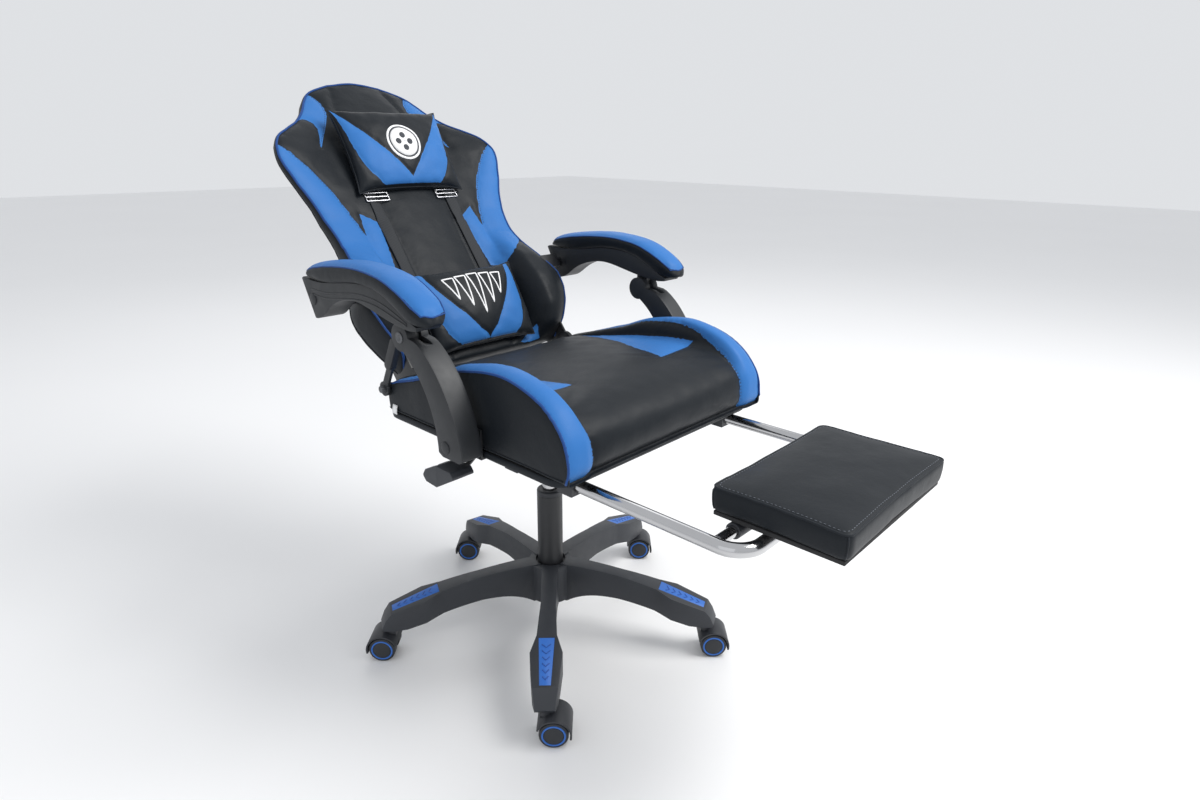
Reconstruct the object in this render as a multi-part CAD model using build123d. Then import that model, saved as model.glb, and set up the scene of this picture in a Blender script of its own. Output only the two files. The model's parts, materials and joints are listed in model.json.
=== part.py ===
"""Gaming chair with a five-star caster base, gas column, reclining back and pull-out footrest.

Frame: millimetres, +Z up, the chair faces -Y and the sitter's right hand is on -X.
The origin is on the floor under the column's axis.
"""
from build123d import *
import math
import os

# ---- Driving dimensions ----
# base and casters
ARM_ANGLES = [-45.3 + 72 * i for i in range(5)]  # from -Y towards +X
HUB_R = 43
COLUMN_R = 25
CASTER_RADIUS = 320  # column axis to a caster's swivel axis
CASTER_TRAIL = 15
CASTER_YAWS = [-47.3, -47.3, -47.3, 132.7, 132.7]  # direction of each caster's trail
WHEEL_R = 25
HOOD_R = 30.5  # outer radius of the arched cover over a caster's wheels
HOOD_WALL = 3
WHEEL_GAP = 7.5  # inner face of a wheel to the caster's middle
WHEEL_WIDTH = 18.5
STEM_R = 5.5
AXLE_R = 3
RUNNING_GAP = 0.05  # radial clearance of a running fit
# column
LIFT_R = 14
COLLAR_TOP = 307
# seat
SEAT_HALF = 245
BOARD_BOTTOM = 486
BOARD_TOP = 496
CUSHION_HALF = 150
# recline linkage, (y, z) of its four pivots on a parallelogram
HINGE = (146, 538)  # seat to backrest
ARM_REAR = (248, 690)  # backrest to armrest
KNUCKLE = (8, 664)  # armrest to post
POST_FOOT = (KNUCKLE[0] - ARM_REAR[0] + HINGE[0], KNUCKLE[1] - ARM_REAR[1] + HINGE[1])
BACK_ANGLE = 38  # backrest from upright
RECLINER_X = 190  # plane where the two recliner plates meet
BACK_TUBE_R = 10
# armrests
PAD_INNER = 262
PAD_OUTER = 318
POST_INNER = 262
POST_OUTER = 300
SHELL_INNER = 268
SHELL_OUTER = 312
TONGUE_MID = 281
TONGUE_HALF = 6
# footrest
FOOT_Z = 472
FOOT_HALF = 194
FOOT_FRONT = -553
FOOT_PIVOT = -508
FOOT_REAR = -110
FOOT_TUBE_R = 10
PIVOT_BAR_R = 8
# tilt mechanism
TILT_PIVOT = (-62, 448)  # (y, z)
LEVER_Z = 438
LEVER_X = -63

nodes = {}


# ---- Helpers ----
def side_prism(outline, x_low, x_high):
    """Extrude a face drawn in (y, z) from x_low to x_high."""
    return Pos(X=(x_low + x_high) / 2) * extrude(Plane.YZ * outline, (x_high - x_low) / 2, both=True)


def x_cylinder(radius, x_low, x_high, y, z):
    """Round bar along X."""
    return Pos((x_low + x_high) / 2, y, z) * Rot(Y=90) * Cylinder(radius, x_high - x_low)


def block(low, high):
    """Box between two corners."""
    size = [b - a for a, b in zip(low, high)]
    middle = [(a + b) / 2 for a, b in zip(low, high)]
    return Pos(*middle) * Box(*size)


def upright(radius, z_low, z_high, x=0, y=0):
    """Round bar along Z."""
    return Pos(x, y, (z_low + z_high) / 2) * Cylinder(radius, z_high - z_low)


def both_sides(shape):
    """The shape and its mirror image across the chair's middle plane."""
    return Compound(children=[shape, mirror(shape, about=Plane.YZ)])


def closed(*lines):
    """Face inside a loop of lines and curves."""
    return make_face([edge for line in lines for edge in line.edges()])


# ---- Base: star, inserts, column ----
ARM_TOP = [(20, 150), (110, 146), (170, 139), (225, 129)]
INSERT_IN = (225, 129)
INSERT_OUT = (320, 101)


def star_arm():
    """One arm along +X: its side outline crossed with its plan outline."""
    top = Spline(*ARM_TOP)
    end = Polyline(INSERT_IN, INSERT_OUT, (330, 88), (338, 70), (335, 64), (292, 64))
    arch = Spline((292, 64), (225, 80), (150, 90), (85, 86), (40, 66))
    root = Polyline((40, 66), (20, 66), (20, 150))
    side = extrude(Plane.XZ * closed(top, end, arch, root), 34, both=True)
    half_plan = [(10, 17), (146, 14), (222, 18), (256, 28.5), (318, 22), (345, 15)]
    plan = Polygon(*half_plan, *[(x, -y) for x, y in reversed(half_plan)], align=None)
    return side & extrude(plan, 200, both=True)


def insert_solid(depth):
    """Tapered plate sunk into the sloping top of an arm."""
    run = INSERT_OUT[0] - INSERT_IN[0]
    slope = (INSERT_OUT[1] - INSERT_IN[1]) / run
    edge = [(227, 129 + 2 * slope), (316, 129 + 91 * slope)]
    lower = [(x, z - depth) for x, z in reversed(edge)]
    side = extrude(Plane.XZ * Polygon(*edge, *lower, align=None), 34, both=True)
    plan = Polygon((220, 14.5), (320, 9.5), (320, -9.5), (220, -14.5), align=None)
    return side & extrude(plan, 200, both=True)


def swivel_point(angle):
    """Caster swivel axis of the arm at this angle."""
    turn = math.radians(angle)
    return CASTER_RADIUS * math.sin(turn), -CASTER_RADIUS * math.cos(turn)


arm = star_arm() - insert_solid(2.5)
arm -= upright(STEM_R + RUNNING_GAP, 60, 86, x=CASTER_RADIUS)
star = upright(HUB_R, 70, 148)
for angle in ARM_ANGLES:
    star += Rot(Z=angle - 90) * arm
star -= upright(COLUMN_R, 60, 160)
star -= upright(30, 142, 160)
nodes["base_star"] = star
nodes["base_inserts"] = Compound(children=[Rot(Z=a - 90) * insert_solid(2.5) for a in ARM_ANGLES])

tube = upright(COLUMN_R, 74, 296) - upright(COLUMN_R - 2.5, 78, 300)
nodes["column_tube"] = tube
lip = upright(COLUMN_R, 296, COLLAR_TOP)
lip = fillet(lip.edges().group_by(Axis.Z)[-1], 4)
collar = upright(COLUMN_R - 2.5, 262, 296) + lip
nodes["column_collar"] = collar - upright(LIFT_R + RUNNING_GAP, 250, 320)


# ---- Casters ----
def caster_hood():
    """Web between the wheels, stem boss and the arched cover, trail along +X."""
    wheel_at = (CASTER_TRAIL, WHEEL_R)
    web = Polygon((-9, 30), (-9, 58), (9, 58), (34, 46), (42, 30), (24, 16), (6, 16), align=None)
    web = extrude(Plane.XZ * web, 6.6, both=True)
    cover = Pos(wheel_at[0], 0, wheel_at[1]) * Rot(X=90) * (
        Cylinder(HOOD_R, 54) - Cylinder(HOOD_R - HOOD_WALL, 60)
    )
    keep = Polygon((-30, 42), (-30, 80), (60, 80), (60, 14), (15, 25), align=None)
    cover &= extrude(Plane.XZ * keep, 40, both=True)
    boss = upright(10.5, 50, 61)
    hood = web + cover + boss
    hood -= upright(STEM_R, 34, 70)
    return hood - x_axle(AXLE_R, 30)


def x_axle(radius, half):
    """Bar across the caster, through the wheels' centre."""
    return Pos(CASTER_TRAIL, 0, WHEEL_R) * Rot(X=90) * Cylinder(radius, 2 * half)


def caster_wheel(side):
    """One of the two wheels, with rounded rims, on the -1 or +1 side of the caster."""
    middle = side * (WHEEL_GAP + WHEEL_WIDTH / 2)
    wheel = Pos(CASTER_TRAIL, middle, WHEEL_R) * Rot(X=90) * Cylinder(WHEEL_R, WHEEL_WIDTH)
    wheel = fillet(wheel.edges(), 2.5)
    return wheel - x_axle(AXLE_R + RUNNING_GAP, 20)


for number, (angle, yaw) in enumerate(zip(ARM_ANGLES, CASTER_YAWS), start=1):
    x, y = swivel_point(angle)
    place = Pos(x, y, 0) * Rot(Z=yaw)
    pins = Compound(children=[upright(STEM_R, 34, 84), x_axle(AXLE_R, 19)])
    wheels = Compound(children=[caster_wheel(-1), caster_wheel(1)])
    nodes[f"caster_hood_{number}"] = place * caster_hood()
    nodes[f"caster_pins_{number}"] = place * pins
    nodes[f"caster_wheels_{number}"] = place * wheels

# ---- Gas lift ----
rod = upright(4, 80, 292) + upright(12, 282, 292)
nodes["piston_rod"] = rod
nodes["thrust_bearing"] = upright(14, 78.1, 86) - upright(4, 70, 90)
lift = upright(LIFT_R, 190, 440) - upright(12 + RUNNING_GAP, 196, 428)
nodes["lift_tube"] = lift - upright(4 + RUNNING_GAP, 180, 200)

# ---- Tilt mechanism ----
housing_outline = Polygon((-92, 420), (-92, 462), (-30, 462), (82, 432), (82, 408), (-40, 408), align=None)
housing = side_prism(housing_outline, -58, 58)
hollow_outline = Polygon((-88, 400), (-88, 458), (-31, 458), (78, 429), (78, 400), align=None)
housing -= side_prism(hollow_outline, -55, 55)
housing += upright(20, 412, 448)
housing -= upright(LIFT_R, 400, 440)
housing += block((-10, -92, 408), (10, -48, 424))
housing -= x_cylinder(6, -60, 60, *TILT_PIVOT)
housing -= x_cylinder(9, -60, -40, 10, LEVER_Z)
nodes["tilt_housing"] = housing
nodes["tilt_pin"] = x_cylinder(6, -68, 68, *TILT_PIVOT)

knob = upright(23, 384, 404, y=-66) + upright(8, 404, 407.9, y=-66)
grip_cut = upright(4, 380, 410, x=25.5, y=0)
for i in range(10):
    knob -= Pos(0, -66, 0) * Rot(Z=36 * i) * grip_cut
nodes["tension_knob"] = knob

# ---- Gas lever: bush, cranked rod and paddle ----
bush = x_cylinder(9, LEVER_X - 4, LEVER_X + 4, 10, LEVER_Z)
nodes["lever_bush"] = bush - x_cylinder(5.5, LEVER_X - 5, LEVER_X + 5, 10, LEVER_Z)
lever_path = FilletPolyline(
    (-32, 10, LEVER_Z), (-150, 10, LEVER_Z), (-240, -50, LEVER_Z + 3), (-272, -62, LEVER_Z + 9), radius=20
)
lever_section = Plane(lever_path @ 0, z_dir=lever_path % 0) * Circle(4.5)
paddle_outline = Polygon(
    (-106, 461), (-98, 471), (-62, 471), (-32, 457), (-24, 445), (-32, 436), (-60, 434), align=None
)
paddle = side_prism(paddle_outline, -298, -258)
paddle = fillet(paddle.edges().filter_by(Axis.X), 4)
paddle -= block((-283, -52, 430), (-273, -20, 480))
lever_rod = sweep(lever_section, path=lever_path)
nodes["gas_lever_rod"] = lever_rod
nodes["gas_lever_paddle"] = paddle - lever_rod

# ---- Seat ----
plate = block((-105, -110, 482), (105, 110, BOARD_BOTTOM))
for side in (-1, 1):
    cheek = Polygon((-88, 482), (-36, 482), (-48, 436), (-76, 436), align=None)
    low = min(side * 60.5, side * 64.5)
    plate += side_prism(cheek, low, low + 4)
plate -= x_cylinder(6 + RUNNING_GAP, -70, 70, *TILT_PIVOT)
BOLT_SPOTS = [(x, y) for x in (-92, 92) for y in (-96, 96)]
bolts = []
for x, y in BOLT_SPOTS:
    bolts.append(upright(7, 477, 482, x=x, y=y) + upright(4, 482, 494, x=x, y=y))
    plate -= upright(4, 480, 490, x=x, y=y)
nodes["seat_plate"] = plate
nodes["seat_bolts"] = Compound(children=bolts)

board = block((-243, -284, BOARD_BOTTOM), (243, 160, BOARD_TOP))
board = fillet(board.edges().filter_by(Axis.Z), 30)
for x, y in BOLT_SPOTS:
    board -= upright(4, 480, 494, x=x, y=y)
nodes["seat_board"] = board

cushion_top = Spline(
    (-288, 500), (-296, 522), (-284, 560), (-240, 582), (-160, 588), (-40, 578), (100, 560), (156, 550)
)
cushion_rest = Polyline((156, 550), (162, 542), (162, BOARD_TOP), (-286, BOARD_TOP), (-288, 500))
nodes["seat_cushion"] = side_prism(closed(cushion_top, cushion_rest), -CUSHION_HALF, CUSHION_HALF)

bolster_top = Spline(
    (-296, 498), (-303, 520), (-290, 567), (-245, 610), (-161, 632), (-66, 620), (60, 577), (140, 554)
)
bolster_rest = Polyline((140, 554), (147, 546), (147, BOARD_TOP), (-290, BOARD_TOP), (-296, 498))
bolster = side_prism(closed(bolster_top, bolster_rest), CUSHION_HALF + 0.3, SEAT_HALF)
inner_face = [(212, 650), (205, 634), (192, 588), (150, 582)]
section = Polygon((150, 480), (250, 480), (250, 650), *inner_face, align=None)
bolster &= extrude(Plane.XZ * section, 400, both=True)
bolster -= block((RECLINER_X - 7, 112, 490), (RECLINER_X + 7, 170, 600))
bolster -= x_cylinder(7.5, RECLINER_X, 250, *HINGE)
nodes["seat_bolster_left"] = bolster
nodes["seat_bolster_right"] = mirror(bolster, about=Plane.YZ)

guides = []
for side in (-1, 1):
    for y in (-255, -135):
        x = side * FOOT_HALF
        guide = block((x - 15, y - 15, 457), (x + 15, y + 15, BOARD_BOTTOM))
        guide -= Pos(x, y, FOOT_Z) * Rot(X=90) * Cylinder(FOOT_TUBE_R + RUNNING_GAP, 40)
        guides.append(guide)
nodes["footrest_guides"] = Compound(children=guides)

foot_y, foot_z = POST_FOOT
foot_strip = block((120, foot_y - 22, 482.6), (251, foot_y + 22, BOARD_BOTTOM))
foot_plate = block((247, foot_y - 22, 482.6), (251, foot_y + 22, foot_z + 20))
foot_pin = x_cylinder(6, 251, POST_OUTER - 2, foot_y, foot_z)
post_mount = foot_strip + foot_plate + foot_pin + x_cylinder(11, 251, POST_INNER - 0.5, foot_y, foot_z)
nodes["post_mounts"] = both_sides(post_mount)

hinge_y, hinge_z = HINGE
seat_recliner = x_cylinder(24, RECLINER_X - 4, RECLINER_X, hinge_y, hinge_z)
seat_recliner += block((RECLINER_X - 4, 122, BOARD_TOP), (RECLINER_X, 160, hinge_z))
seat_recliner -= x_cylinder(6, 180, 200, hinge_y, hinge_z)
nodes["recliner_seat_plates"] = both_sides(seat_recliner)
right_spindle = x_cylinder(6, -261, -(RECLINER_X - 6), hinge_y, hinge_z)
left_spindle = x_cylinder(6, RECLINER_X - 6, RECLINER_X + 6, hinge_y, hinge_z)
nodes["recliner_spindles"] = Compound(children=[right_spindle, left_spindle])

# ---- Recline lever on the sitter's right ----
grip_axis = (-51, 94)
lever_angle = math.degrees(math.atan2(-grip_axis[0], grip_axis[1]))
lever_bar = block((-254, -7, 0), (-249, 7, 96)) + x_cylinder(13, -254, -249, 0, 0)
lever_grip = block((-259.5, -9, 48), (-247, 9, 112))
lever_grip = fillet(lever_grip.edges().filter_by(Axis.X), 8)
recline_lever = lever_bar + lever_grip - x_cylinder(6 + RUNNING_GAP, -270, -240, 0, 0)
nodes["recline_lever"] = Pos(0, *HINGE) * Rot(X=lever_angle) * recline_lever

# ---- Backrest, drawn upright in (x, depth, height) and leaned back about the hinge ----
LEAN = Pos(0, *HINGE) * Rot(X=-BACK_ANGLE)
FRONT = 20  # depth of the middle panel's front face behind the hinge
REAR = 60
BACK_SIDE = [
    (190, 26), (222, 94), (233, 150), (218, 205), (205, 290), (219, 372), (240, 430), (253, 482),
    (236, 525), (206, 550), (174, 576), (149, 606), (130, 637), (108, 662), (60, 683),
]
BACK_TOP = 689


def back_outline():
    """Front view of the backrest: waist, wings, shoulders and a rounded head."""
    left = Spline(*BACK_SIDE)
    right = Spline(*[(-x, z) for x, z in BACK_SIDE])
    bottom = Line((-190, 26), (190, 26))
    top_x, top_z = BACK_SIDE[-1]
    top = ThreePointArc((top_x, top_z), (0, BACK_TOP), (-top_x, top_z))
    return closed(bottom, left, top, right)


outline_prism = extrude(Plane.XZ * back_outline(), 120, both=True)


def back_slab(x_low, x_high, d_low, d_high, s_low=0, s_high=700):
    """Part of the backrest's outline between two depths."""
    return outline_prism & block((x_low, d_low, s_low), (x_high, d_high, s_high))


def frame_tube(radius):
    """Bent steel tube inside the upholstery, with a lower cross tube."""
    path = FilletPolyline(
        (180, 42, 45), (180, 42, 240), (128, 42, 330), (128, 42, 560), (80, 42, 600), (-80, 42, 600),
        (-128, 42, 560), (-128, 42, 330), (-180, 42, 240), (-180, 42, 45), radius=24,
    )
    ring = Plane(path @ 0, z_dir=path % 0) * Circle(radius)
    return sweep(ring, path=path) + x_cylinder(radius, -180, 180, 42, 70)


def plan_prism(points, s_low, s_high):
    """Plan section (x, depth) drawn up the backrest between two heights."""
    plan = Polygon(*points, align=None)
    return Pos(Z=(s_low + s_high) / 2) * extrude(plan, (s_high - s_low) / 2, both=True)


steel = frame_tube(BACK_TUBE_R)
channel = frame_tube(BACK_TUBE_R + 0.3)
middle = back_slab(-150, 150, FRONT, REAR) - channel
cover = back_slab(-148, 148, REAR + 0.3, REAR + 3.3)
wing_plan = [(150.3, 18), (256, -8), (256, 6), (150.3, 58)]
wing = outline_prism & plan_prism(wing_plan, 290.3, 640)
wing -= channel
lumbar_plan = [(132, 19.7), (150, -40), (186, -47), (240, -34), (240, 43), (150.3, 58), (150.3, 19.7)]
lumbar_side = Polygon(
    (60, 10), (60, 28), (10, 28), (-30, 46), (-47, 110), (-36, 200), (10, 290), (60, 290), align=None
)
lumbar = outline_prism & plan_prism(lumbar_plan, 28, 290) & side_prism(lumbar_side, 100, 260)
lumbar -= channel
arm_s = (ARM_REAR[1] - HINGE[1]) * math.cos(math.radians(BACK_ANGLE))
arm_s += (ARM_REAR[0] - HINGE[0]) * math.sin(math.radians(BACK_ANGLE))
arm_d = (ARM_REAR[0] - HINGE[0]) * math.cos(math.radians(BACK_ANGLE))
arm_d -= (ARM_REAR[1] - HINGE[1]) * math.sin(math.radians(BACK_ANGLE))
arm_mount = block((182, arm_d - 14, arm_s - 15), (256, arm_d + 14, arm_s + 15))
arm_mount += block((182, arm_d, arm_s - 15), (204, 50, arm_s + 15))
arm_mount -= channel
lumbar -= block((149, arm_d - 14.5, arm_s - 15.5), (260, arm_d + 14.5, arm_s + 15.5))
lumbar -= block((149, arm_d, arm_s - 15.5), (204.5, 60, arm_s + 15.5))
arm_mount += x_cylinder(9, 256, SHELL_INNER - 0.5, arm_d, arm_s)
arm_mount += x_cylinder(5, 256, SHELL_OUTER - 1, arm_d, arm_s)
back_recliner = x_cylinder(24, RECLINER_X + 0.1, RECLINER_X + 4, 0, 0)
back_recliner += block((RECLINER_X + 0.1, -12, 0), (RECLINER_X + 4, 52, 110))
back_recliner -= x_cylinder(6 + RUNNING_GAP, 180, 200, 0, 0)
back_recliner -= channel
lumbar -= block((RECLINER_X - 0.2, -12.3, 0), (RECLINER_X + 4.3, 60, 110.3))
strap = block((78, FRONT - 2.7, 150), (104, FRONT - 0.3, 500))

nodes["back_frame"] = LEAN * steel
nodes["back_cushion"] = LEAN * middle
nodes["back_cover"] = LEAN * cover
nodes["back_wings"] = LEAN * both_sides(wing)
nodes["lumbar_bolsters"] = LEAN * both_sides(lumbar)
nodes["recliner_back_plates"] = LEAN * both_sides(back_recliner)
nodes["armrest_mounts"] = LEAN * both_sides(arm_mount)
nodes["pillow_straps"] = LEAN * both_sides(strap)

head = block((-128, -44, 400), (128, FRONT - 3.1, 570))
head = fillet(head.edges(), 18)
nodes["head_pillow"] = LEAN * head
buckle = block((74, 13.5, 386), (108, 16.5, 396))
nodes["strap_buckles"] = LEAN * both_sides(buckle)
lumbar_pillow = block((-126, -48, 34), (126, FRONT - 3.1, 200))
lumbar_pillow = fillet(lumbar_pillow.edges(), 18)
nodes["lumbar_pillow"] = LEAN * lumbar_pillow

# ---- Armrests: shells, pads and posts ----
SHELL_TOP = [(276, 725), (198, 724), (112, 735), (62, 735), (28, 730), (-3, 719), (-32, 703), (-58, 692)]
shell_under = Spline(
    (243, 657), (222, 664), (196, 682), (158, 699), (108, 706), (60, 699), (14, 690), (-40, 684)
)
shell_rear = Polyline((276, 725), (282, 722), (248, 657), (243, 657))
shell_nose = Polyline((-40, 684), (-56, 686), (-58, 692))
shell_outline = closed(Spline(*SHELL_TOP), shell_rear, shell_under, shell_nose)
shell = side_prism(shell_outline, SHELL_INNER, SHELL_OUTER)
pocket = Polygon((222, 676), (222, 716), (300, 716), (300, 664), (232, 664), align=None)
shell -= side_prism(pocket, SHELL_INNER + 5, SHELL_OUTER - 5)
shell -= x_cylinder(5 + RUNNING_GAP, 255, 320, *ARM_REAR)
tongue = x_cylinder(17, TONGUE_MID - TONGUE_HALF, TONGUE_MID + TONGUE_HALF, *KNUCKLE)
tongue += block(
    (TONGUE_MID - TONGUE_HALF, KNUCKLE[0] - 13, KNUCKLE[1]), (TONGUE_MID + TONGUE_HALF, KNUCKLE[0] + 13, 696)
)
tongue -= x_cylinder(5.3, 260, 300, *KNUCKLE)
shell += tongue
pad_top = Spline(
    (270, 731), (262, 744), (200, 757), (120, 765), (60, 764), (8, 756), (-35, 739), (-68, 719), (-82, 703)
)
pad_nose = Polyline((-82, 703), (-78, 694), (-58, 692))
pad_tail = Polyline((276, 725), (270, 731))
pad = side_prism(closed(Spline(*SHELL_TOP), pad_nose, pad_top, pad_tail), PAD_INNER, PAD_OUTER)

post_front = Spline((-134, 500), (-126, 540), (-104, 590), (-72, 634), (-38, 661))
post_cap = Polyline((-38, 661), (-30, 664), (0, 668), (14, 650))
post_rear = Spline((14, 650), (-24, 622), (-58, 574), (-76, 500))
post_base = Polyline((-76, 500), (-86, 495), (-126, 495), (-134, 500))
post = side_prism(closed(post_front, post_cap, post_rear, post_base), POST_INNER, POST_OUTER)
post += x_cylinder(22, POST_INNER, POST_OUTER, *KNUCKLE)
slot_low = TONGUE_MID - TONGUE_HALF - 0.4
slot_high = TONGUE_MID + TONGUE_HALF + 0.4
post -= x_cylinder(24, slot_low, slot_high, *KNUCKLE)
post -= block((slot_low, -60, 658), (slot_high, 40, 690))
post -= x_cylinder(6 + RUNNING_GAP, POST_INNER - 1, POST_OUTER - 1, foot_y, foot_z)
post += x_cylinder(5, POST_INNER, POST_OUTER, *KNUCKLE)

for side, shape_of in (("left", lambda s: s), ("right", lambda s: mirror(s, about=Plane.YZ))):
    nodes[f"armrest_shell_{side}"] = shape_of(shell)
    nodes[f"armrest_pad_{side}"] = shape_of(pad)
    nodes[f"armrest_post_{side}"] = shape_of(post)

# ---- Footrest ----
foot_path = FilletPolyline(
    (-FOOT_HALF, FOOT_REAR, FOOT_Z), (-FOOT_HALF, FOOT_FRONT, FOOT_Z),
    (FOOT_HALF, FOOT_FRONT, FOOT_Z), (FOOT_HALF, FOOT_REAR, FOOT_Z), radius=38,
)
foot_section = Plane(foot_path @ 0, z_dir=foot_path % 0) * (Circle(FOOT_TUBE_R) - Circle(FOOT_TUBE_R - 1.5))
bar_half = FOOT_HALF - FOOT_TUBE_R + 1  # the ends of the cross bar are welded into the side tubes
foot_frame = sweep(foot_section, path=foot_path)
foot_frame += x_cylinder(PIVOT_BAR_R, -bar_half, bar_half, FOOT_PIVOT, FOOT_Z)
nodes["footrest_frame"] = foot_frame

sleeve = x_cylinder(11.5, -150, 150, FOOT_PIVOT, FOOT_Z)
for x in (-106, 94):
    sleeve += block((x, FOOT_PIVOT - 11, FOOT_Z), (x + 12, FOOT_PIVOT + 11, 485))
nodes["footrest_sleeve"] = sleeve - x_cylinder(PIVOT_BAR_R + RUNNING_GAP, -160, 160, FOOT_PIVOT, FOOT_Z)
foot_board = block((-150, -660, 485), (150, -476, 491))
for x in (-126, 96):
    foot_board += block((x, FOOT_FRONT - 7, 482.2), (x + 30, FOOT_FRONT + 7, 485))
nodes["footrest_board"] = foot_board
foot_pad = block((-157, -667, 491), (157, -469, 531))
nodes["footrest_pad"] = fillet(foot_pad.edges(), 9)

# ---- Write one file for each node ----
os.makedirs("parts", exist_ok=True)
for name, shape in nodes.items():
    export_step(shape, f"parts/{name}.step")
print(len(nodes), "nodes written")
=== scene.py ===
import json
import math

import bmesh
import bpy
import numpy as np
from mathutils import Matrix, Vector, noise
from mathutils.bvhtree import BVHTree
from mathutils.geometry import delaunay_2d_cdt


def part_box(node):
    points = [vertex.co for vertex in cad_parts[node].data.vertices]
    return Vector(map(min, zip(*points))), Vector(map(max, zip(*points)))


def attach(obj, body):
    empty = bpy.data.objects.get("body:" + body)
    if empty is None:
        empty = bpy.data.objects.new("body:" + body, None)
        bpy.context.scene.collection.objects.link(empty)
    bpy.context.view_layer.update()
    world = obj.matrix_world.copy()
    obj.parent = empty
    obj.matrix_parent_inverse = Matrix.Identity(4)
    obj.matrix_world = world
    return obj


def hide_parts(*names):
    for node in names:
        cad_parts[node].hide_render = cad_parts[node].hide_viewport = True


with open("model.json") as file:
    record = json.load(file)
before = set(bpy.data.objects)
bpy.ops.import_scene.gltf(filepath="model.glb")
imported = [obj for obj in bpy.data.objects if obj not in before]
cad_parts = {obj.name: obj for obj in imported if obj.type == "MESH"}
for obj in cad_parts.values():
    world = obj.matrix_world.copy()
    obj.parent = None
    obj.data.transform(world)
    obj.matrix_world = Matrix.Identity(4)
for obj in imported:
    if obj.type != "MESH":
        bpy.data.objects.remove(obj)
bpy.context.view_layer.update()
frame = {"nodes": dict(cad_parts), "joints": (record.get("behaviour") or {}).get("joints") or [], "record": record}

MM = 0.001  # shapes are drawn in millimetres and placed in metres
SOLE = 0  # material index of a cover's first material


# ---------------------------------------------------------------- curves
def smooth_path(points, step, closed=False):
    """Points about `step` apart on a Catmull-Rom curve through the given ones."""
    p = np.array(points, float)
    n = len(p)
    out = []
    for i in range(n if closed else n - 1):
        if closed:
            a, b, c, d = (p[(i + k) % n] for k in (-1, 0, 1, 2))
        else:
            b, c = p[i], p[i + 1]
            a = p[i - 1] if i > 0 else 2 * b - c
            d = p[i + 2] if i + 2 < n else 2 * c - b
        count = max(1, int(round(np.linalg.norm(c - b) / step)))
        for k in range(count):
            t = k / count
            bend = (2 * a - 5 * b + 4 * c - d) * t * t + (3 * b - a - 3 * c + d) * t ** 3
            out.append(0.5 * (2 * b + (c - a) * t + bend))
    if not closed:
        out.append(p[-1])
    return np.array(out)


def straight_path(points, step, closed=False):
    """Points about `step` apart on straight runs between the given ones."""
    p = np.array(points, float)
    out = []
    for i in range(len(p) if closed else len(p) - 1):
        b, c = p[i], p[(i + 1) % len(p)]
        count = max(1, int(round(np.linalg.norm(c - b) / step)))
        out += [b + (c - b) * k / count for k in range(count)]
    if not closed:
        out.append(p[-1])
    return np.array(out)


def even_path(points, count):
    """The same polyline with `count` points spaced evenly along it."""
    p = np.array(points, float)
    run = np.r_[0, np.cumsum(np.linalg.norm(np.diff(p, axis=0), axis=1))]
    at = np.linspace(0, run[-1], count)
    return np.c_[tuple(np.interp(at, run, p[:, k]) for k in range(p.shape[1]))]


def flip(line):
    """The 2-D line mirrored across u = 0."""
    return np.array(line, float) * np.array([-1, 1])


def two_sides(lines):
    """The lines and their mirror images."""
    return [np.array(line, float) for line in lines] + [flip(line) for line in lines]


def distance_to_lines(points, lines):
    """Shortest distance from each 2-D point to any of the polylines."""
    best = np.full(len(points), 1e9)
    for line in lines:
        for a, b in zip(line[:-1], line[1:]):
            run = b - a
            t = np.clip(((points - a) @ run) / max(run @ run, 1e-12), 0, 1)
            best = np.minimum(best, np.linalg.norm(points - (a + t[:, None] * run), axis=1))
    return best


def inside(points, polygon):
    """Which 2-D points lie inside the polygon."""
    x, y = points[:, 0], points[:, 1]
    poly = np.array(polygon, float)
    found = np.zeros(len(points), bool)
    for (x1, y1), (x2, y2) in zip(poly, np.roll(poly, -1, axis=0)):
        crosses = (y1 > y) != (y2 > y)
        where = (x2 - x1) * (y - y1) / ((y2 - y1) if y2 != y1 else 1e-12) + x1
        found ^= crosses & (x < where)
    return found


def ramp(value, low, high):
    """Smooth step from 0 at low to 1 at high."""
    t = np.clip((np.asarray(value, float) - low) / (high - low), 0, 1)
    return t * t * (3 - 2 * t)


def snap_ends(line, ring, reach=7):
    """The line with ends that lie near the ring moved onto the ring's nearest point."""
    line = np.array(line, float)
    for end in (0, -1):
        gaps = np.linalg.norm(ring - line[end], axis=1)
        if gaps.min() < reach:
            line[end] = ring[gaps.argmin()]
    return line


def sheet_mesh(ring, seams, step):
    """Triangles inside an outline, with the seams as edges: (points, triangles)."""
    points = [tuple(q) for q in ring]
    edges = [(i, (i + 1) % len(ring)) for i in range(len(ring))]
    for line in seams:
        first = len(points)
        points += [tuple(q) for q in line]
        edges += [(first + i, first + i + 1) for i in range(len(line) - 1)]
    low, high = ring.min(0), ring.max(0)
    rows = []
    for j, v in enumerate(np.arange(low[1], high[1], step * 0.866)):
        rows += [(u + (step / 2 if j % 2 else 0), v) for u in np.arange(low[0], high[0], step)]
    grid = np.array(rows)
    lines = [np.vstack([ring, ring[:1]])] + list(seams)
    grid = grid[inside(grid, ring) & (distance_to_lines(grid, lines) > step * 0.55)]
    points += [tuple(q) for q in grid]
    done = delaunay_2d_cdt([Vector(q) for q in points], edges, [], 0, 1e-4)
    flat = np.array([tuple(q) for q in done[0]])
    triangles = np.array([f for f in done[2] if len(f) == 3])
    return flat, triangles[inside(flat[triangles].mean(1), ring)]


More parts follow.
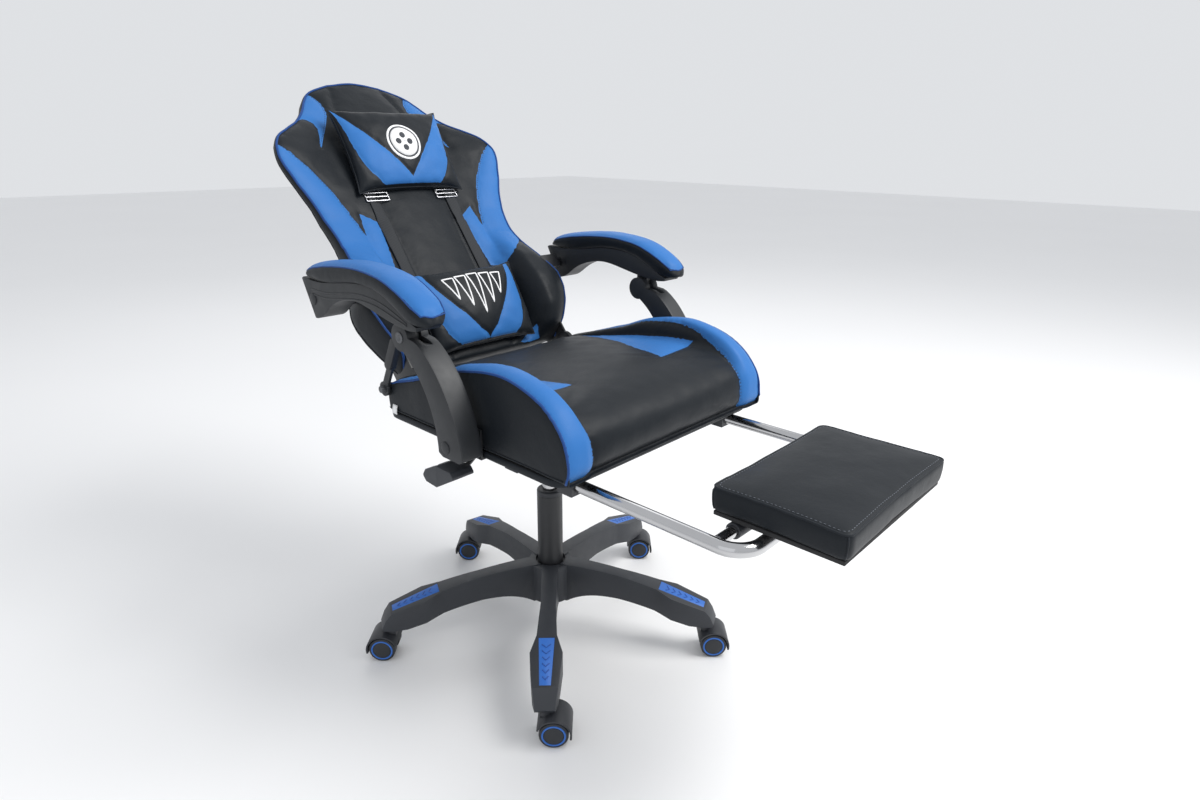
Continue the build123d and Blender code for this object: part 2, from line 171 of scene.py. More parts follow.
# ---------------------------------------------------------------- meshes
def new_object(name, points, faces, materials, indices=None, smooth=True):
    """A mesh object in metres from points in millimetres."""
    mesh = bpy.data.meshes.new(name)
    mesh.from_pydata([tuple(q) for q in np.array(points, float) * MM], [], [tuple(map(int, f)) for f in faces])
    for material in materials:
        mesh.materials.append(material)
    if indices is not None:
        mesh.polygons.foreach_set("material_index", np.array(indices, np.int32))
    mesh.polygons.foreach_set("use_smooth", np.full(len(mesh.polygons), smooth))
    mesh.update()
    made = bpy.data.objects.new(name, mesh)
    bpy.context.scene.collection.objects.link(made)
    return made


def face_outwards(made):
    """Turn every face of a closed mesh outwards."""
    work = bmesh.new()
    work.from_mesh(made.data)
    bmesh.ops.recalc_face_normals(work, faces=work.faces)
    work.to_mesh(made.data)
    work.free()


def tube(name, path, radius, material, closed=False, sides=8, flat=1.0, flat_axis=None):
    """Round or flattened cord along a path in millimetres."""
    p = np.array(path, float)
    n = len(p)
    ahead = np.roll(p, -1, axis=0) - np.roll(p, 1, axis=0)
    if not closed:
        ahead[0], ahead[-1] = p[1] - p[0], p[-1] - p[-2]
    ahead /= np.maximum(np.linalg.norm(ahead, axis=1), 1e-9)[:, None]
    side = np.cross(ahead[0], (0.31, 0.52, 0.79))
    points, faces = [], []
    for i in range(n):
        if flat_axis is not None:
            side = np.cross(ahead[i], flat_axis[i] if np.ndim(flat_axis) > 1 else flat_axis)
        side = side - ahead[i] * (side @ ahead[i])
        side /= np.linalg.norm(side)
        up = np.cross(side, ahead[i])
        for k in range(sides):
            turn = 2 * math.pi * k / sides
            points.append(p[i] + radius * (math.cos(turn) * side + flat * math.sin(turn) * up))
    for i in range(n if closed else n - 1):
        j = (i + 1) % n
        for k in range(sides):
            m = (k + 1) % sides
            faces.append((i * sides + k, i * sides + m, j * sides + m, j * sides + k))
    if not closed:
        faces += [tuple(range(sides)), tuple((n - 1) * sides + k for k in range(sides))]
    made = new_object(name, points, faces, [material])
    face_outwards(made)
    return made


class Skin:
    """The finished surface of a piece, to lay trim on."""

    def __init__(self, made):
        graph = bpy.context.evaluated_depsgraph_get()
        graph.update()
        self.tree = BVHTree.FromObject(made, graph)

    def lay(self, points, towards, lift=0.0, reach=80.0):
        """Points dropped onto the surface along a direction, and the normals there."""
        aim = Vector(towards).normalized()
        spots, normals = [], []
        for q in np.array(points, float):
            start = Vector(q * MM) - aim * reach * MM
            where, normal, _, _ = self.tree.ray_cast(start, aim, 2.5 * reach * MM)
            if where is None:
                where, normal, _, _ = self.tree.find_nearest(Vector(q * MM))
            if normal.dot(aim) > 0:
                normal = -normal
            spots.append(np.array(where) / MM + np.array(normal) * lift)
            normals.append(np.array(normal))
        return np.array(spots), np.array(normals)

    def hug(self, points, lift=0.0):
        """The places on the surface nearest to points in space, raised along the normals."""
        spots = []
        for q in np.array(points, float):
            where, normal, _, _ = self.tree.find_nearest(Vector(q * MM))
            spots.append(np.array(where) / MM + np.array(normal) * lift)
        return np.array(spots)


def stitches(name, path, normals, material, pitch=6.0, length=4.2, width=1.1):
    """A row of thread stitches along a path, each a small raised lozenge."""
    p = np.array(path, float)
    run = np.r_[0, np.cumsum(np.linalg.norm(np.diff(p, axis=0), axis=1))]
    points, faces = [], []

    def along(at, table):
        return np.array([np.interp(at, run, table[:, k]) for k in range(3)])

    for start in np.arange(pitch / 2, run[-1] - length, pitch):
        a, b = along(start, p), along(start + length, p)
        n = along(start, normals)
        n /= np.linalg.norm(n)
        side = np.cross(n, (b - a) / np.linalg.norm(b - a)) * width / 2
        first = len(points)
        points += [a - n * 0.4, b - n * 0.4]
        for t in (0.3, 0.7):
            q = a + (b - a) * t
            points += [q + side, q + n * 0.5, q - side, q - n * 0.7]
        for k in range(4):
            m = (k + 1) % 4
            near, far = first + 2, first + 6
            faces += [(first, near + m, near + k), (first + 1, far + k, far + m)]
            faces.append((near + k, near + m, far + m, far + k))
    return new_object(name, points, faces, [material])


def seam_noise(made, amount, size, seed=0.0):
    """Small creases: every vertex moves along its normal by smooth noise."""
    for vertex in made.data.vertices:
        spot = vertex.co / (size * MM) + Vector((seed, 0, 0))
        vertex.co += vertex.normal * noise.noise(spot) * amount * MM


class Cover:
    """A padded cover as one closed mesh: a front sheet of panels, a rim and a back sheet.

    front(u, v) and back(u, v) place the two sheets in millimetres.
    """

    def __init__(self, name, outline, seams, panels, front, back, materials, step=8, rim_rows=3,
                 crown=3.0, crown_width=16.0, groove=1.2, groove_width=3.0, rim_crown=1.5, back_crown=1.0,
                 rim_slot=SOLE, back_slot=SOLE, rim_shift=None):
        ring = np.array(outline, float)
        seams = [snap_ends(line, ring) for line in seams]
        flat, triangles = sheet_mesh(ring, seams, step)
        count = len(flat)
        edge = [int(np.abs(flat - q).sum(1).argmin()) for q in ring]
        to_rim = distance_to_lines(flat, [np.vstack([ring, ring[:1]])])
        to_seam = distance_to_lines(flat, seams) if seams else np.full(count, 1e9)
        u, v = flat[:, 0], flat[:, 1]
        points = [front(u, v), back(u, v)]
        faces = [tuple(t) for t in triangles] + [tuple(t[::-1] + count) for t in triangles]
        index = np.full(len(triangles), SOLE)
        for polygon, slot in panels:
            index[inside(flat[triangles].mean(1), polygon)] = slot
        indices = list(index) + [back_slot] * len(triangles)
        near = np.minimum(to_rim, to_seam)
        lift = crown * (1 - np.exp(-near / crown_width)) - groove * np.exp(-((near / groove_width) ** 2))
        lifts = [lift, back_crown * (1 - np.exp(-to_rim / crown_width))]
        holds = [np.where(near < 0.5, 1.0, 0.0), np.ones(count)]
        first, last = front(ring[:, 0], ring[:, 1]), back(ring[:, 0], ring[:, 1])
        rows = [np.array(edge)]
        for k in range(1, rim_rows):
            t = k / rim_rows
            row = first + (last - first) * t
            if rim_shift is not None:
                row = row + rim_shift(ring, t)
            points.append(row)
            begin = 2 * count + (k - 1) * len(ring)
            rows.append(np.arange(begin, begin + len(ring)))
            lifts.append(np.full(len(ring), rim_crown * math.sin(math.pi * t) ** 0.6))
            holds.append(np.full(len(ring), 0.7))
        rows.append(np.array(edge) + count)
        for a, b in zip(rows[:-1], rows[1:]):
            for i in range(len(ring)):
                j = (i + 1) % len(ring)
                faces.append((a[i], a[j], b[j], b[i]))
                indices.append(rim_slot)
        self.object = new_object(name, np.vstack(points), faces, materials, indices)
        face_outwards(self.object)
        self.held = np.concatenate(holds)
        self.front, self.ring, self.seams = front, ring, seams
        mesh = self.object.data
        lifts = np.concatenate(lifts)
        for vertex, amount in zip(mesh.vertices, lifts):
            vertex.co += vertex.normal * float(amount) * MM
        mesh.update()

    def inflate(self, pressure=1.0, cap=6.0, frames=14, stiffness=14.0):
        """Blow the cover up with the cloth solver, held at its seams, and keep the result."""
        made = self.object
        group = made.vertex_groups.new(name="held")
        for index in np.nonzero(self.held)[0]:
            group.add([int(index)], float(self.held[index]), "REPLACE")
        before = np.zeros(len(made.data.vertices) * 3)
        made.data.vertices.foreach_get("co", before)
        cloth = made.modifiers.new("cloth", "CLOTH")
        settings = cloth.settings
        settings.quality = 5
        settings.mass = 0.3
        settings.tension_stiffness = stiffness
        settings.compression_stiffness = stiffness
        settings.shear_stiffness = stiffness / 2
        settings.bending_stiffness = 0.5
        settings.use_pressure = True
        settings.uniform_pressure_force = pressure
        settings.vertex_group_mass = "held"
        settings.effector_weights.gravity = 0
        cloth.point_cache.frame_start = 1
        cloth.point_cache.frame_end = frames
        for number in range(1, frames + 1):
            bpy.context.scene.frame_set(number)
        result = made.evaluated_get(bpy.context.evaluated_depsgraph_get())
        after = np.zeros(len(before))
        result.data.vertices.foreach_get("co", after)
        made.modifiers.remove(cloth)
        bpy.context.scene.frame_set(1)
        move = (after - before).reshape(-1, 3)
        length = np.maximum(np.linalg.norm(move, axis=1), 1e-9)
        limit = cap * MM
        move *= (limit * np.tanh(length / limit) / length)[:, None]
        made.data.vertices.foreach_set("co", (before.reshape(-1, 3) + move).ravel())
        made.vertex_groups.clear()
        made.data.update()
        return self

    def finish(self, creases=0.5, size=26.0, seed=0.0):
        """Creases, one subdivision, and the finished surface to lay trim on."""
        seam_noise(self.object, creases, size, seed)
        refine = self.object.modifiers.new("refine", "SUBSURF")
        refine.levels = 1
        refine.render_levels = 1
        self.skin = Skin(self.object)
        return self

    def edge(self, lift=0.0, rows=None):
        """The front edge's line in space."""
        ring = self.ring if rows is None else self.ring[rows]
        return self.front(ring[:, 0], ring[:, 1]) + lift


# ---------------------------------------------------------------- materials
def material(name, colour, roughness, metallic=0.0):
    """A new node material; returns (material, nodes, links, principled)."""
    made = bpy.data.materials.new(name)
    made.use_nodes = True
    nodes, links = made.node_tree.nodes, made.node_tree.links
    shader = next(n for n in nodes if n.type == "BSDF_PRINCIPLED")
    shader.inputs["Base Color"].default_value = (*colour, 1)
    shader.inputs["Roughness"].default_value = roughness
    shader.inputs["Metallic"].default_value = metallic
    made.diffuse_color = (*colour, 1)
    return made, nodes, links, shader


def add(nodes, kind, **values):
    """A node with its settings and input values."""
    node = nodes.new(kind)
    for key, value in values.items():
        if key in node.inputs:
            node.inputs[key].default_value = value
        else:
            setattr(node, key, value)
    return node


def blotches(nodes, links, scale, low, high, detail=4.0, coords="Object"):
    """Smooth noise mapped between two values or colours; returns (noise node, output)."""
    place = add(nodes, "ShaderNodeTexCoord")
    cloud = add(nodes, "ShaderNodeTexNoise", Scale=scale, Detail=detail)
    links.new(place.outputs[coords], cloud.inputs["Vector"])
    if isinstance(low, tuple):
        blend = add(nodes, "ShaderNodeMix", data_type="RGBA")
        blend.inputs["A"].default_value = (*low, 1)
        blend.inputs["B"].default_value = (*high, 1)
        for socket in blend.inputs:
            if socket.name == "A" and socket.type == "RGBA":
                socket.default_value = (*low, 1)
            if socket.name == "B" and socket.type == "RGBA":
                socket.default_value = (*high, 1)
        links.new(cloud.outputs["Fac"], blend.inputs["Factor"])
        return cloud, next(o for o in blend.outputs if o.type == "RGBA")
    remap = add(nodes, "ShaderNodeMapRange")
    remap.inputs["To Min"].default_value = low
    remap.inputs["To Max"].default_value = high
    links.new(cloud.outputs["Fac"], remap.inputs["Value"])
    return cloud, remap.outputs["Result"]


def leather(name, colour, worn, roughness=0.46):
    """Grained synthetic leather: pebble grain, soft blotches, paler worn edges."""
    made, nodes, links, shader = material(name, colour, roughness)
    darker = tuple(c * 0.86 for c in colour)
    _, tone = blotches(nodes, links, 9.0, darker, colour)
    edge = add(nodes, "ShaderNodeNewGeometry")
    rub = add(nodes, "ShaderNodeMapRange")
    rub.inputs["From Min"].default_value = 0.52
    rub.inputs["From Max"].default_value = 0.62
    links.new(edge.outputs["Pointiness"], rub.inputs["Value"])
    mix = add(nodes, "ShaderNodeMix", data_type="RGBA")
    tint = [s for s in mix.inputs if s.type == "RGBA"]
    tint[1].default_value = (*worn, 1)
    links.new(rub.outputs["Result"], mix.inputs["Factor"])
    links.new(tone, tint[0])
    links.new(next(o for o in mix.outputs if o.type == "RGBA"), shader.inputs["Base Color"])
    _, rough = blotches(nodes, links, 30.0, roughness - 0.06, roughness + 0.08)
    links.new(rough, shader.inputs["Roughness"])
    place = add(nodes, "ShaderNodeTexCoord")
    pebble = add(nodes, "ShaderNodeTexVoronoi", Scale=620.0, feature="F1")
    links.new(place.outputs["Object"], pebble.inputs["Vector"])
    grain = add(nodes, "ShaderNodeBump", Strength=0.22, Distance=0.0004)
    links.new(pebble.outputs["Distance"], grain.inputs["Height"])
    soft = add(nodes, "ShaderNodeTexNoise", Scale=46.0, Detail=3.0)
    links.new(place.outputs["Object"], soft.inputs["Vector"])
    crease = add(nodes, "ShaderNodeBump", Strength=0.16, Distance=0.004)
    links.new(soft.outputs["Fac"], crease.inputs["Height"])
    links.new(grain.outputs["Normal"], crease.inputs["Normal"])
    links.new(crease.outputs["Normal"], shader.inputs["Normal"])
    shader.inputs["Specular IOR Level"].default_value = 0.2
    shader.inputs["Sheen Weight"].default_value = 0.03
    return made


def plastic(name, colour, roughness, texture=900.0, depth=0.0002):
    """Moulded plastic with a fine spark-eroded texture and handling marks."""
    made, nodes, links, shader = material(name, colour, roughness)
    paler = tuple(min(1.0, c * 1.3 + 0.006) for c in colour)
    _, tone = blotches(nodes, links, 14.0, colour, paler)
    links.new(tone, shader.inputs["Base Color"])
    _, rough = blotches(nodes, links, 55.0, roughness - 0.07, roughness + 0.09)
    links.new(rough, shader.inputs["Roughness"])
    place = add(nodes, "ShaderNodeTexCoord")
    spark = add(nodes, "ShaderNodeTexNoise", Scale=texture, Detail=2.0)
    links.new(place.outputs["Object"], spark.inputs["Vector"])
    bump = add(nodes, "ShaderNodeBump", Strength=0.3, Distance=depth)
    links.new(spark.outputs["Fac"], bump.inputs["Height"])
    links.new(bump.outputs["Normal"], shader.inputs["Normal"])
    return made


def metal(name, colour, roughness, streak=260.0):
    """Plated or bare metal with fine drawn lines and smudges."""
    made, nodes, links, shader = material(name, colour, roughness, metallic=1.0)
    dull = tuple(c * 0.82 for c in colour)
    _, tone = blotches(nodes, links, 18.0, dull, colour)
    links.new(tone, shader.inputs["Base Color"])
    _, rough = blotches(nodes, links, 40.0, max(0.03, roughness - 0.04), roughness + 0.07)
    links.new(rough, shader.inputs["Roughness"])
    place = add(nodes, "ShaderNodeTexCoord")
    stretch = add(nodes, "ShaderNodeMapping")
    stretch.inputs["Scale"].default_value = (1.0, 0.04, 1.0)
    links.new(place.outputs["Object"], stretch.inputs["Vector"])
    lines = add(nodes, "ShaderNodeTexNoise", Scale=streak, Detail=2.0)
    links.new(stretch.outputs["Vector"], lines.inputs["Vector"])
    bump = add(nodes, "ShaderNodeBump", Strength=0.05, Distance=0.0002)
    links.new(lines.outputs["Fac"], bump.inputs["Height"])
    links.new(bump.outputs["Normal"], shader.inputs["Normal"])
    return made


def woven(name, colour, pitch=0.0016):
    """Woven webbing or thread: crossed ribs."""
    made, nodes, links, shader = material(name, colour, 0.75)
    paler = tuple(min(1.0, c * 1.7 + 0.004) for c in colour)
    place = add(nodes, "ShaderNodeTexCoord")
    ribs = add(nodes, "ShaderNodeTexWave", Scale=0.5 / pitch / 3.1, Distortion=1.5, bands_direction="DIAGONAL")
    links.new(place.outputs["Object"], ribs.inputs["Vector"])
    blend = add(nodes, "ShaderNodeMix", data_type="RGBA")
    tint = [s for s in blend.inputs if s.type == "RGBA"]
    tint[0].default_value, tint[1].default_value = (*colour, 1), (*paler, 1)
    links.new(ribs.outputs["Fac"], blend.inputs["Factor"])
    links.new(next(o for o in blend.outputs if o.type == "RGBA"), shader.inputs["Base Color"])
    bump = add(nodes, "ShaderNodeBump", Strength=0.5, Distance=0.0004)
    links.new(ribs.outputs["Fac"], bump.inputs["Height"])
    links.new(bump.outputs["Normal"], shader.inputs["Normal"])
    return made


BLACK = leather("black_leather", (0.007, 0.0100, 0.0140), (0.015, 0.019, 0.025))
BLUE = leather("blue_leather", (0.032, 0.165, 0.470), (0.055, 0.215, 0.550), roughness=0.5)
PIPING_BLUE = leather("blue_piping", (0.010, 0.045, 0.190), (0.02, 0.08, 0.28), roughness=0.6)
PIPING_BLACK = leather("black_piping", (0.009, 0.012, 0.016), (0.018, 0.022, 0.028), roughness=0.6)
BASE_PLASTIC = plastic("base_plastic", (0.020, 0.023, 0.029), 0.5)
ARM_PLASTIC = plastic("arm_plastic", (0.010, 0.012, 0.015), 0.5)
CASTER_PLASTIC = plastic("caster_plastic", (0.018, 0.020, 0.025), 0.46)
WHEEL_PLASTIC = plastic("wheel_plastic", (0.012, 0.014, 0.018), 0.5)
INSERT_PLASTIC = plastic("insert_blue", (0.020, 0.120, 0.450), 0.5, texture=500.0, depth=0.0003)
# darker copy of the insert blue: painted shade of the insert's grooves, used for the chevrons
INSERT_GROOVE_SHADE = plastic("insert_groove_shade", (0.012, 0.070, 0.300), 0.5)
PAINT = plastic("black_paint", (0.012, 0.013, 0.015), 0.42, texture=1400.0)
CHROME = metal("chrome", (0.60, 0.60, 0.61), 0.11)
STEEL = metal("zinc_steel", (0.16, 0.165, 0.175), 0.45)
BUCKLE = metal("buckle_steel", (0.62, 0.62, 0.64), 0.25)
WEBBING = woven("black_webbing", (0.010, 0.012, 0.015))
THREAD_DARK = woven("dark_thread", (0.030, 0.034, 0.042), pitch=0.0008)
THREAD_GREY = woven("grey_thread", (0.11, 0.12, 0.14), pitch=0.0008)
THREAD_WHITE = woven("white_thread", (0.78, 0.79, 0.80), pitch=0.0008)
BADGE_WHITE = leather("badge_white", (0.80, 0.80, 0.80), (0.85, 0.85, 0.85), roughness=0.5)
BOARD = plastic("lined_board", (0.014, 0.014, 0.015), 0.8, texture=300.0, depth=0.0004)


def place_piece(made, body, slot, *stands_for):
    """Ride on a body and stand for the CAD nodes named. The slot argument is not used."""
    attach(made, body)
    if stands_for:
        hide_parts(*stands_for)
    return made


# ---------------------------------------------------------------- the leaning frame of the backrest
recline = next(j for j in frame["joints"] if j["name"] == "backrest_recline")
HINGE = np.array(recline["pos_m"]) / MM
LEAN = math.radians(38)
BEHIND = np.array([0, math.cos(LEAN), -math.sin(LEAN)])  # into the backrest
UPWARD = np.array([0, math.sin(LEAN), math.cos(LEAN)])  # up along the backrest


def lean(x, s, d):
    """Points across, up and behind the backrest's front, in the chair's frame."""
    x, s, d = np.broadcast_arrays(np.asarray(x, float), s, d)
    across = np.stack([x, 0 * x, 0 * x], -1)
    return across + np.array([0, HINGE[1], HINGE[2]]) + s[..., None] * UPWARD + d[..., None] * BEHIND


def table(points):
    """A function that interpolates between (where, value) pairs."""
    where, value = zip(*points)
    return lambda at: np.interp(at, where, value)


# ---------------------------------------------------------------- backrest
BACK_SIDE = [
    (190, 26), (222, 94), (233, 150), (218, 205), (205, 290), (219, 372), (240, 430), (253, 482),
    (236, 525), (206, 550), (174, 576), (149, 606), (130, 637), (108, 662), (60, 683),
]
BACK_TOP = 689
ridge = table([(26, 14), (46, -24), (80, -40), (115, -45), (150, -43), (200, -32), (250, -10), (292, 10),
               (350, 14), (420, 3), (490, -7), (528, 0), (550, 8), (576, 18), (606, 27), (637, 34), (662, 38),
               (BACK_TOP, 40)])
rim_back = table([(26, 40), (200, 43), (350, 35), (420, 19), (490, 7), (528, 14), (550, 22), (576, 34),
                  (606, 46), (637, 54), (BACK_TOP, 60)])
half_width = table([(s, x) for x, s in BACK_SIDE] + [(BACK_TOP, 40)])


def back_front(x, s):
    """Front of the backrest: flat middle, lower bolsters and wings that reach forward."""
    reach = np.abs(x) / np.maximum(half_width(np.clip(s, 26, BACK_TOP)), 1)
    low = ramp(-s, -300, -240)
    rise_low = ramp(np.abs(x), 118, 168)
    rise_high = ramp(reach, 0.45, 1.05)
    rise = rise_low * low + rise_high * (1 - low)
    middle = 20 + 16 * ramp(s, 560, BACK_TOP)
    depth = middle + (ridge(s) - middle) * rise
    round_over = 9 * ramp(reach, 0.86, 1.0) * low
    return lean(x, s, depth + round_over)


def back_rear(x, s):
    """Back of the backrest: a shallow shell that thins towards the wings."""
    reach = np.abs(x) / np.maximum(half_width(np.clip(s, 26, BACK_TOP)), 1)
    drop = ramp(reach, 0.5, 1.0)
    return lean(x, s, 61 + (rim_back(s) - 61) * drop)


def make_backrest():
    """The upholstered backrest with its coloured panels, piping and stitching."""
    right = smooth_path(BACK_SIDE, 8)
    top = smooth_path([BACK_SIDE[-1], (0, BACK_TOP), (-BACK_SIDE[-1][0], BACK_SIDE[-1][1])], 8)[1:]
    left = flip(right)[::-1][1:]
    bottom = straight_path([(-190, 26), (190, 26)], 8)[1:-1]
    ring = np.vstack([right, top, left, bottom])
    crescent_in = smooth_path([(251, 506), (236, 497), (222, 484), (206, 465), (188, 438), (170, 405), (154, 358),
                               (141, 312)], 7)
    shared = straight_path([(141, 312), (138, 207)], 7)
    crescent_low = smooth_path([(138, 207), (166, 230), (190, 247), (211, 262)], 7)
    strip_in = straight_path([(99, 339), (113, 216)], 7)
    strip_low = straight_path([(113, 216), (138, 207)], 7)
    strip_top = straight_path([(99, 339), (133, 362)], 7)
    strip_out = straight_path([(133, 362), (141, 312)], 7)
    fang = smooth_path([(112, 659), (100, 635), (98, 610), (107, 585), (127, 549), (151, 511)], 7)
    fang_out = smooth_path([(151, 511), (144, 533), (140, 556), (147, 573), (159, 581), (172, 578)], 7)
    corner = straight_path([(88, 28), (139, 56), (139, 28)], 7)
    middle_seam = smooth_path([(74, 28), (72, 150), (74, 300), (80, 420), (84, 520), (78, 600), (60, 670)], 8)
    cheek_seam = smooth_path([(127, 205), (124, 150), (119, 80), (112, 30)], 8)
    seams = two_sides([snap_ends(line, ring, 12) for line in (crescent_in, crescent_low, fang, fang_out)]
                      + [shared, strip_in, strip_low, strip_top, strip_out, corner, middle_seam, cheek_seam])
    outer = right[(right[:, 1] > 258) & (right[:, 1] < 508)]
    crescent = np.vstack([outer * [1.05, 1], crescent_in, shared, crescent_low])
    strip = np.vstack([strip_in, strip_low, shared[::-1], strip_out[::-1], strip_top[::-1]])
    shoulder = right[(right[:, 1] > 572) & (right[:, 1] < 664)]
    fang_panel = np.vstack([shoulder * [1.05, 1], fang, fang_out])
    blue = [crescent, strip, fang_panel, corner]
    panels = [(p, 1) for p in blue] + [(flip(p), 1) for p in blue]
    cover = Cover("backrest_cover", ring, seams, panels, back_front, back_rear, [BLACK, BLUE], step=8,
                  rim_rows=5, crown=3.2, crown_width=18, groove=1.8, groove_width=3.2, rim_crown=2.5)
    cover.inflate(pressure=1.2, cap=6).finish(creases=0.9, size=30, seed=1.0)
    place_piece(cover.object, "backrest", "black_leather", "back_cushion", "back_cover", "back_wings",
                "lumbar_bolsters")
    border = np.vstack([right, top, left])
    line = cover.skin.hug(back_front(border[:, 0], border[:, 1]) - BEHIND, 0.5)
    piping = tube("backrest_piping", line, 2.1, PIPING_BLUE)
    place_piece(piping, "backrest", "blue_leather")
    rear = cover.skin.hug(back_rear(ring[:, 0], ring[:, 1]) + BEHIND, 0.3)
    rear_piping = tube("backrest_rear_piping", rear, 2.2, PIPING_BLACK, closed=True)
    place_piece(rear_piping, "backrest", "black_leather")
    for number, line in enumerate(two_sides([crescent_in, middle_seam, fang])):
        shifted = line + np.array([3.2 * np.sign(line[0, 0]), 0])
        spots, normals = cover.skin.lay(lean(shifted[:, 0], shifted[:, 1], 0), BEHIND, 0.15)
        row = stitches(f"backrest_stitching_{number + 1}", spots, normals, THREAD_DARK)
        place_piece(row, "backrest", "webbing")
    return cover


def make_back_shell_trim(cover):
    """Seams and zip of the rear cover."""
    ahead = -BEHIND
    for side in (-1, 1):
        line = smooth_path([(side * 150, 60), (side * 150, 300), (side * 158, 420), (side * 130, 520),
                            (side * 80, 640)], 9)
        spots, normals = cover.skin.lay(lean(line[:, 0], line[:, 1], 60), ahead, 0.5)
        seam = tube(f"backrest_rear_seam_{'left' if side > 0 else 'right'}", spots, 1.5, PIPING_BLACK)
        place_piece(seam, "backrest", "black_leather")
    line = straight_path([(-140, 44), (140, 44)], 8)
    spots, _ = cover.skin.lay(lean(line[:, 0], line[:, 1], 60), ahead, 0.5)
    zip_tape = tube("backrest_zip", spots, 5.0, WEBBING, flat=0.18, flat_axis=BEHIND)
    place_piece(zip_tape, "backrest", "webbing")


# ---------------------------------------------------------------- pillows
def pillow_faces(low_s, high_s, low_d, high_d, thick, half_u):
    """Front and back of a pillow whose middle plane runs from low_d at the bottom to high_d at the top."""
    def crown(x, s):
        across = np.clip(np.abs(x) / half_u, 0, 1)
        up = np.clip(np.abs((s - low_s) / (high_s - low_s) * 2 - 1), 0, 1)
        return thick * ((1 - across ** 2.6) * (1 - up ** 2.3)) ** 0.62

    def middle(s):
        return low_d + (high_d - low_d) * (s - low_s) / (high_s - low_s)

    def front(x, s):
        return lean(x, s, middle(s) - 1.5 - crown(x, s))

    def back(x, s):
        return lean(x, s, np.minimum(middle(s) + 1.5 + 0.8 * crown(x, s), 15.5))

    return front, back


def make_head_pillow():
    """Head pillow with a black V, blue panels, black ends and a round badge."""
    side = smooth_path([(122, 397), (117, 430), (115, 487), (118, 545), (124, 575)], 6)
    top = smooth_path([(124, 575), (90, 567), (40, 564), (0, 564), (-40, 564), (-90, 567), (-124, 575)], 6)[1:]
    bottom = smooth_path([(-122, 397), (-90, 404), (-40, 406), (0, 406), (40, 406), (90, 404), (122, 397)], 6)[1:-1]
    ring = np.vstack([side, top, flip(side)[::-1][1:], bottom])
    vee = smooth_path([(0, 419), (35, 461), (69, 501), (100, 541), (122, 573)], 6)
    end = smooth_path([(67, 405), (94, 440), (106, 477), (112, 520), (122, 573)], 6)
    centre = straight_path([(0, 419), (0, 406)], 6)
    panel = np.vstack([vee, end[::-1], [(67, 400), (0, 400)]])
    front, back = pillow_faces(395, 577, 7, -17, 28, 126)
    cover = Cover("head_pillow_cover", ring, two_sides([vee, end]) + [centre], [(panel, 1), (flip(panel), 1)],
                  front, back, [BLACK, BLUE], step=6, rim_rows=2, crown=2.2, crown_width=12, groove=1.6,
                  groove_width=2.6, rim_crown=0.3)
    cover.inflate(pressure=1.5, cap=5).finish(creases=1.4, size=22, seed=5.0)
    place_piece(cover.object, "head_rest", "black_leather", "head_pillow")
    edge = tube("head_pillow_edge", (cover.edge() + back(ring[:, 0], ring[:, 1])) / 2, 1.5, PIPING_BLACK, closed=True)
    place_piece(edge, "head_rest", "black_leather")
    make_badge(cover, 0, 487)


def disc_on(skin, name, centre_x, centre_s, radii, mat, lift, thickness=0.8, sides=56):
    """A ring or disc laid on the front of the backrest or a pillow."""
    inner, outer = radii
    rows = [inner, (inner + outer) / 2, outer] if inner > 0 else [0.01, outer * 0.35, outer * 0.7, outer]
    turn = np.linspace(0, 2 * math.pi, sides, endpoint=False)
    points, faces = [], []
    for r in rows:
        x, s = centre_x + r * np.cos(turn), centre_s + r * np.sin(turn)
        spots, _ = skin.lay(lean(x, s, 0), BEHIND, lift)
        points.append(spots)
    count = len(rows) * sides
    for spots in list(points):
        points.append(spots + BEHIND * (thickness + lift))
    for k in range(len(rows) - 1):
        for i in range(sides):
            j = (i + 1) % sides
            a, b, c, d = k * sides + i, k * sides + j, (k + 1) * sides + j, (k + 1) * sides + i
            faces += [(a, b, c, d), (a + count, d + count, c + count, b + count)]
    for k in (0, len(rows) - 1):
        for i in range(sides):
            j = (i + 1) % sides
            faces.append((k * sides + i, k * sides + j, k * sides + j + count, k * sides + i + count))
    made = new_object(name, np.vstack(points), faces, [mat])
    face_outwards(made)
    return made


def flat_figure(skin, name, outline, mat, lift, thickness=0.8):
    """A flat figure with a polygon outline laid on the front."""
    ring = straight_path(outline, 2.5, closed=True)
    flat, triangles = sheet_mesh(ring, [], 3.0)
    spots, _ = skin.lay(lean(flat[:, 0], flat[:, 1], 0), BEHIND, lift)
    count = len(flat)
    edge = [int(np.abs(flat - q).sum(1).argmin()) for q in ring]
    faces = [tuple(t) for t in triangles] + [tuple(t[::-1] + count) for t in triangles]
    for a, b in zip(edge, edge[1:] + edge[:1]):
        faces.append((a, b, b + count, a + count))
    made = new_object(name, np.vstack([spots, spots + BEHIND * (thickness + lift)]), faces, [mat])
    face_outwards(made)
    return made


def make_badge(cover, x, s):
    """Round embroidered badge: white disc, black ring, white ring and four plain dots."""
    skin = cover.skin
    layers = [("badge_rim", (33.5, 37.5), THREAD_WHITE, 0.9), ("badge_ring", (29.5, 34.0), THREAD_DARK, 0.7),
              ("badge_disc", (0, 30.0), BADGE_WHITE, 0.8)]
    for name, radii, mat, lift in layers:
        place_piece(disc_on(skin, name, x, s, radii, mat, lift), "head_rest", "webbing")
    for number, (dx, ds) in enumerate(((0, 13), (13, 0), (0, -13), (-13, 0))):
        dot = disc_on(skin, f"badge_dot_{number + 1}", x + dx, s + ds, (0, 6.0), THREAD_DARK, 1.5, sides=24)
        place_piece(dot, "head_rest", "webbing")


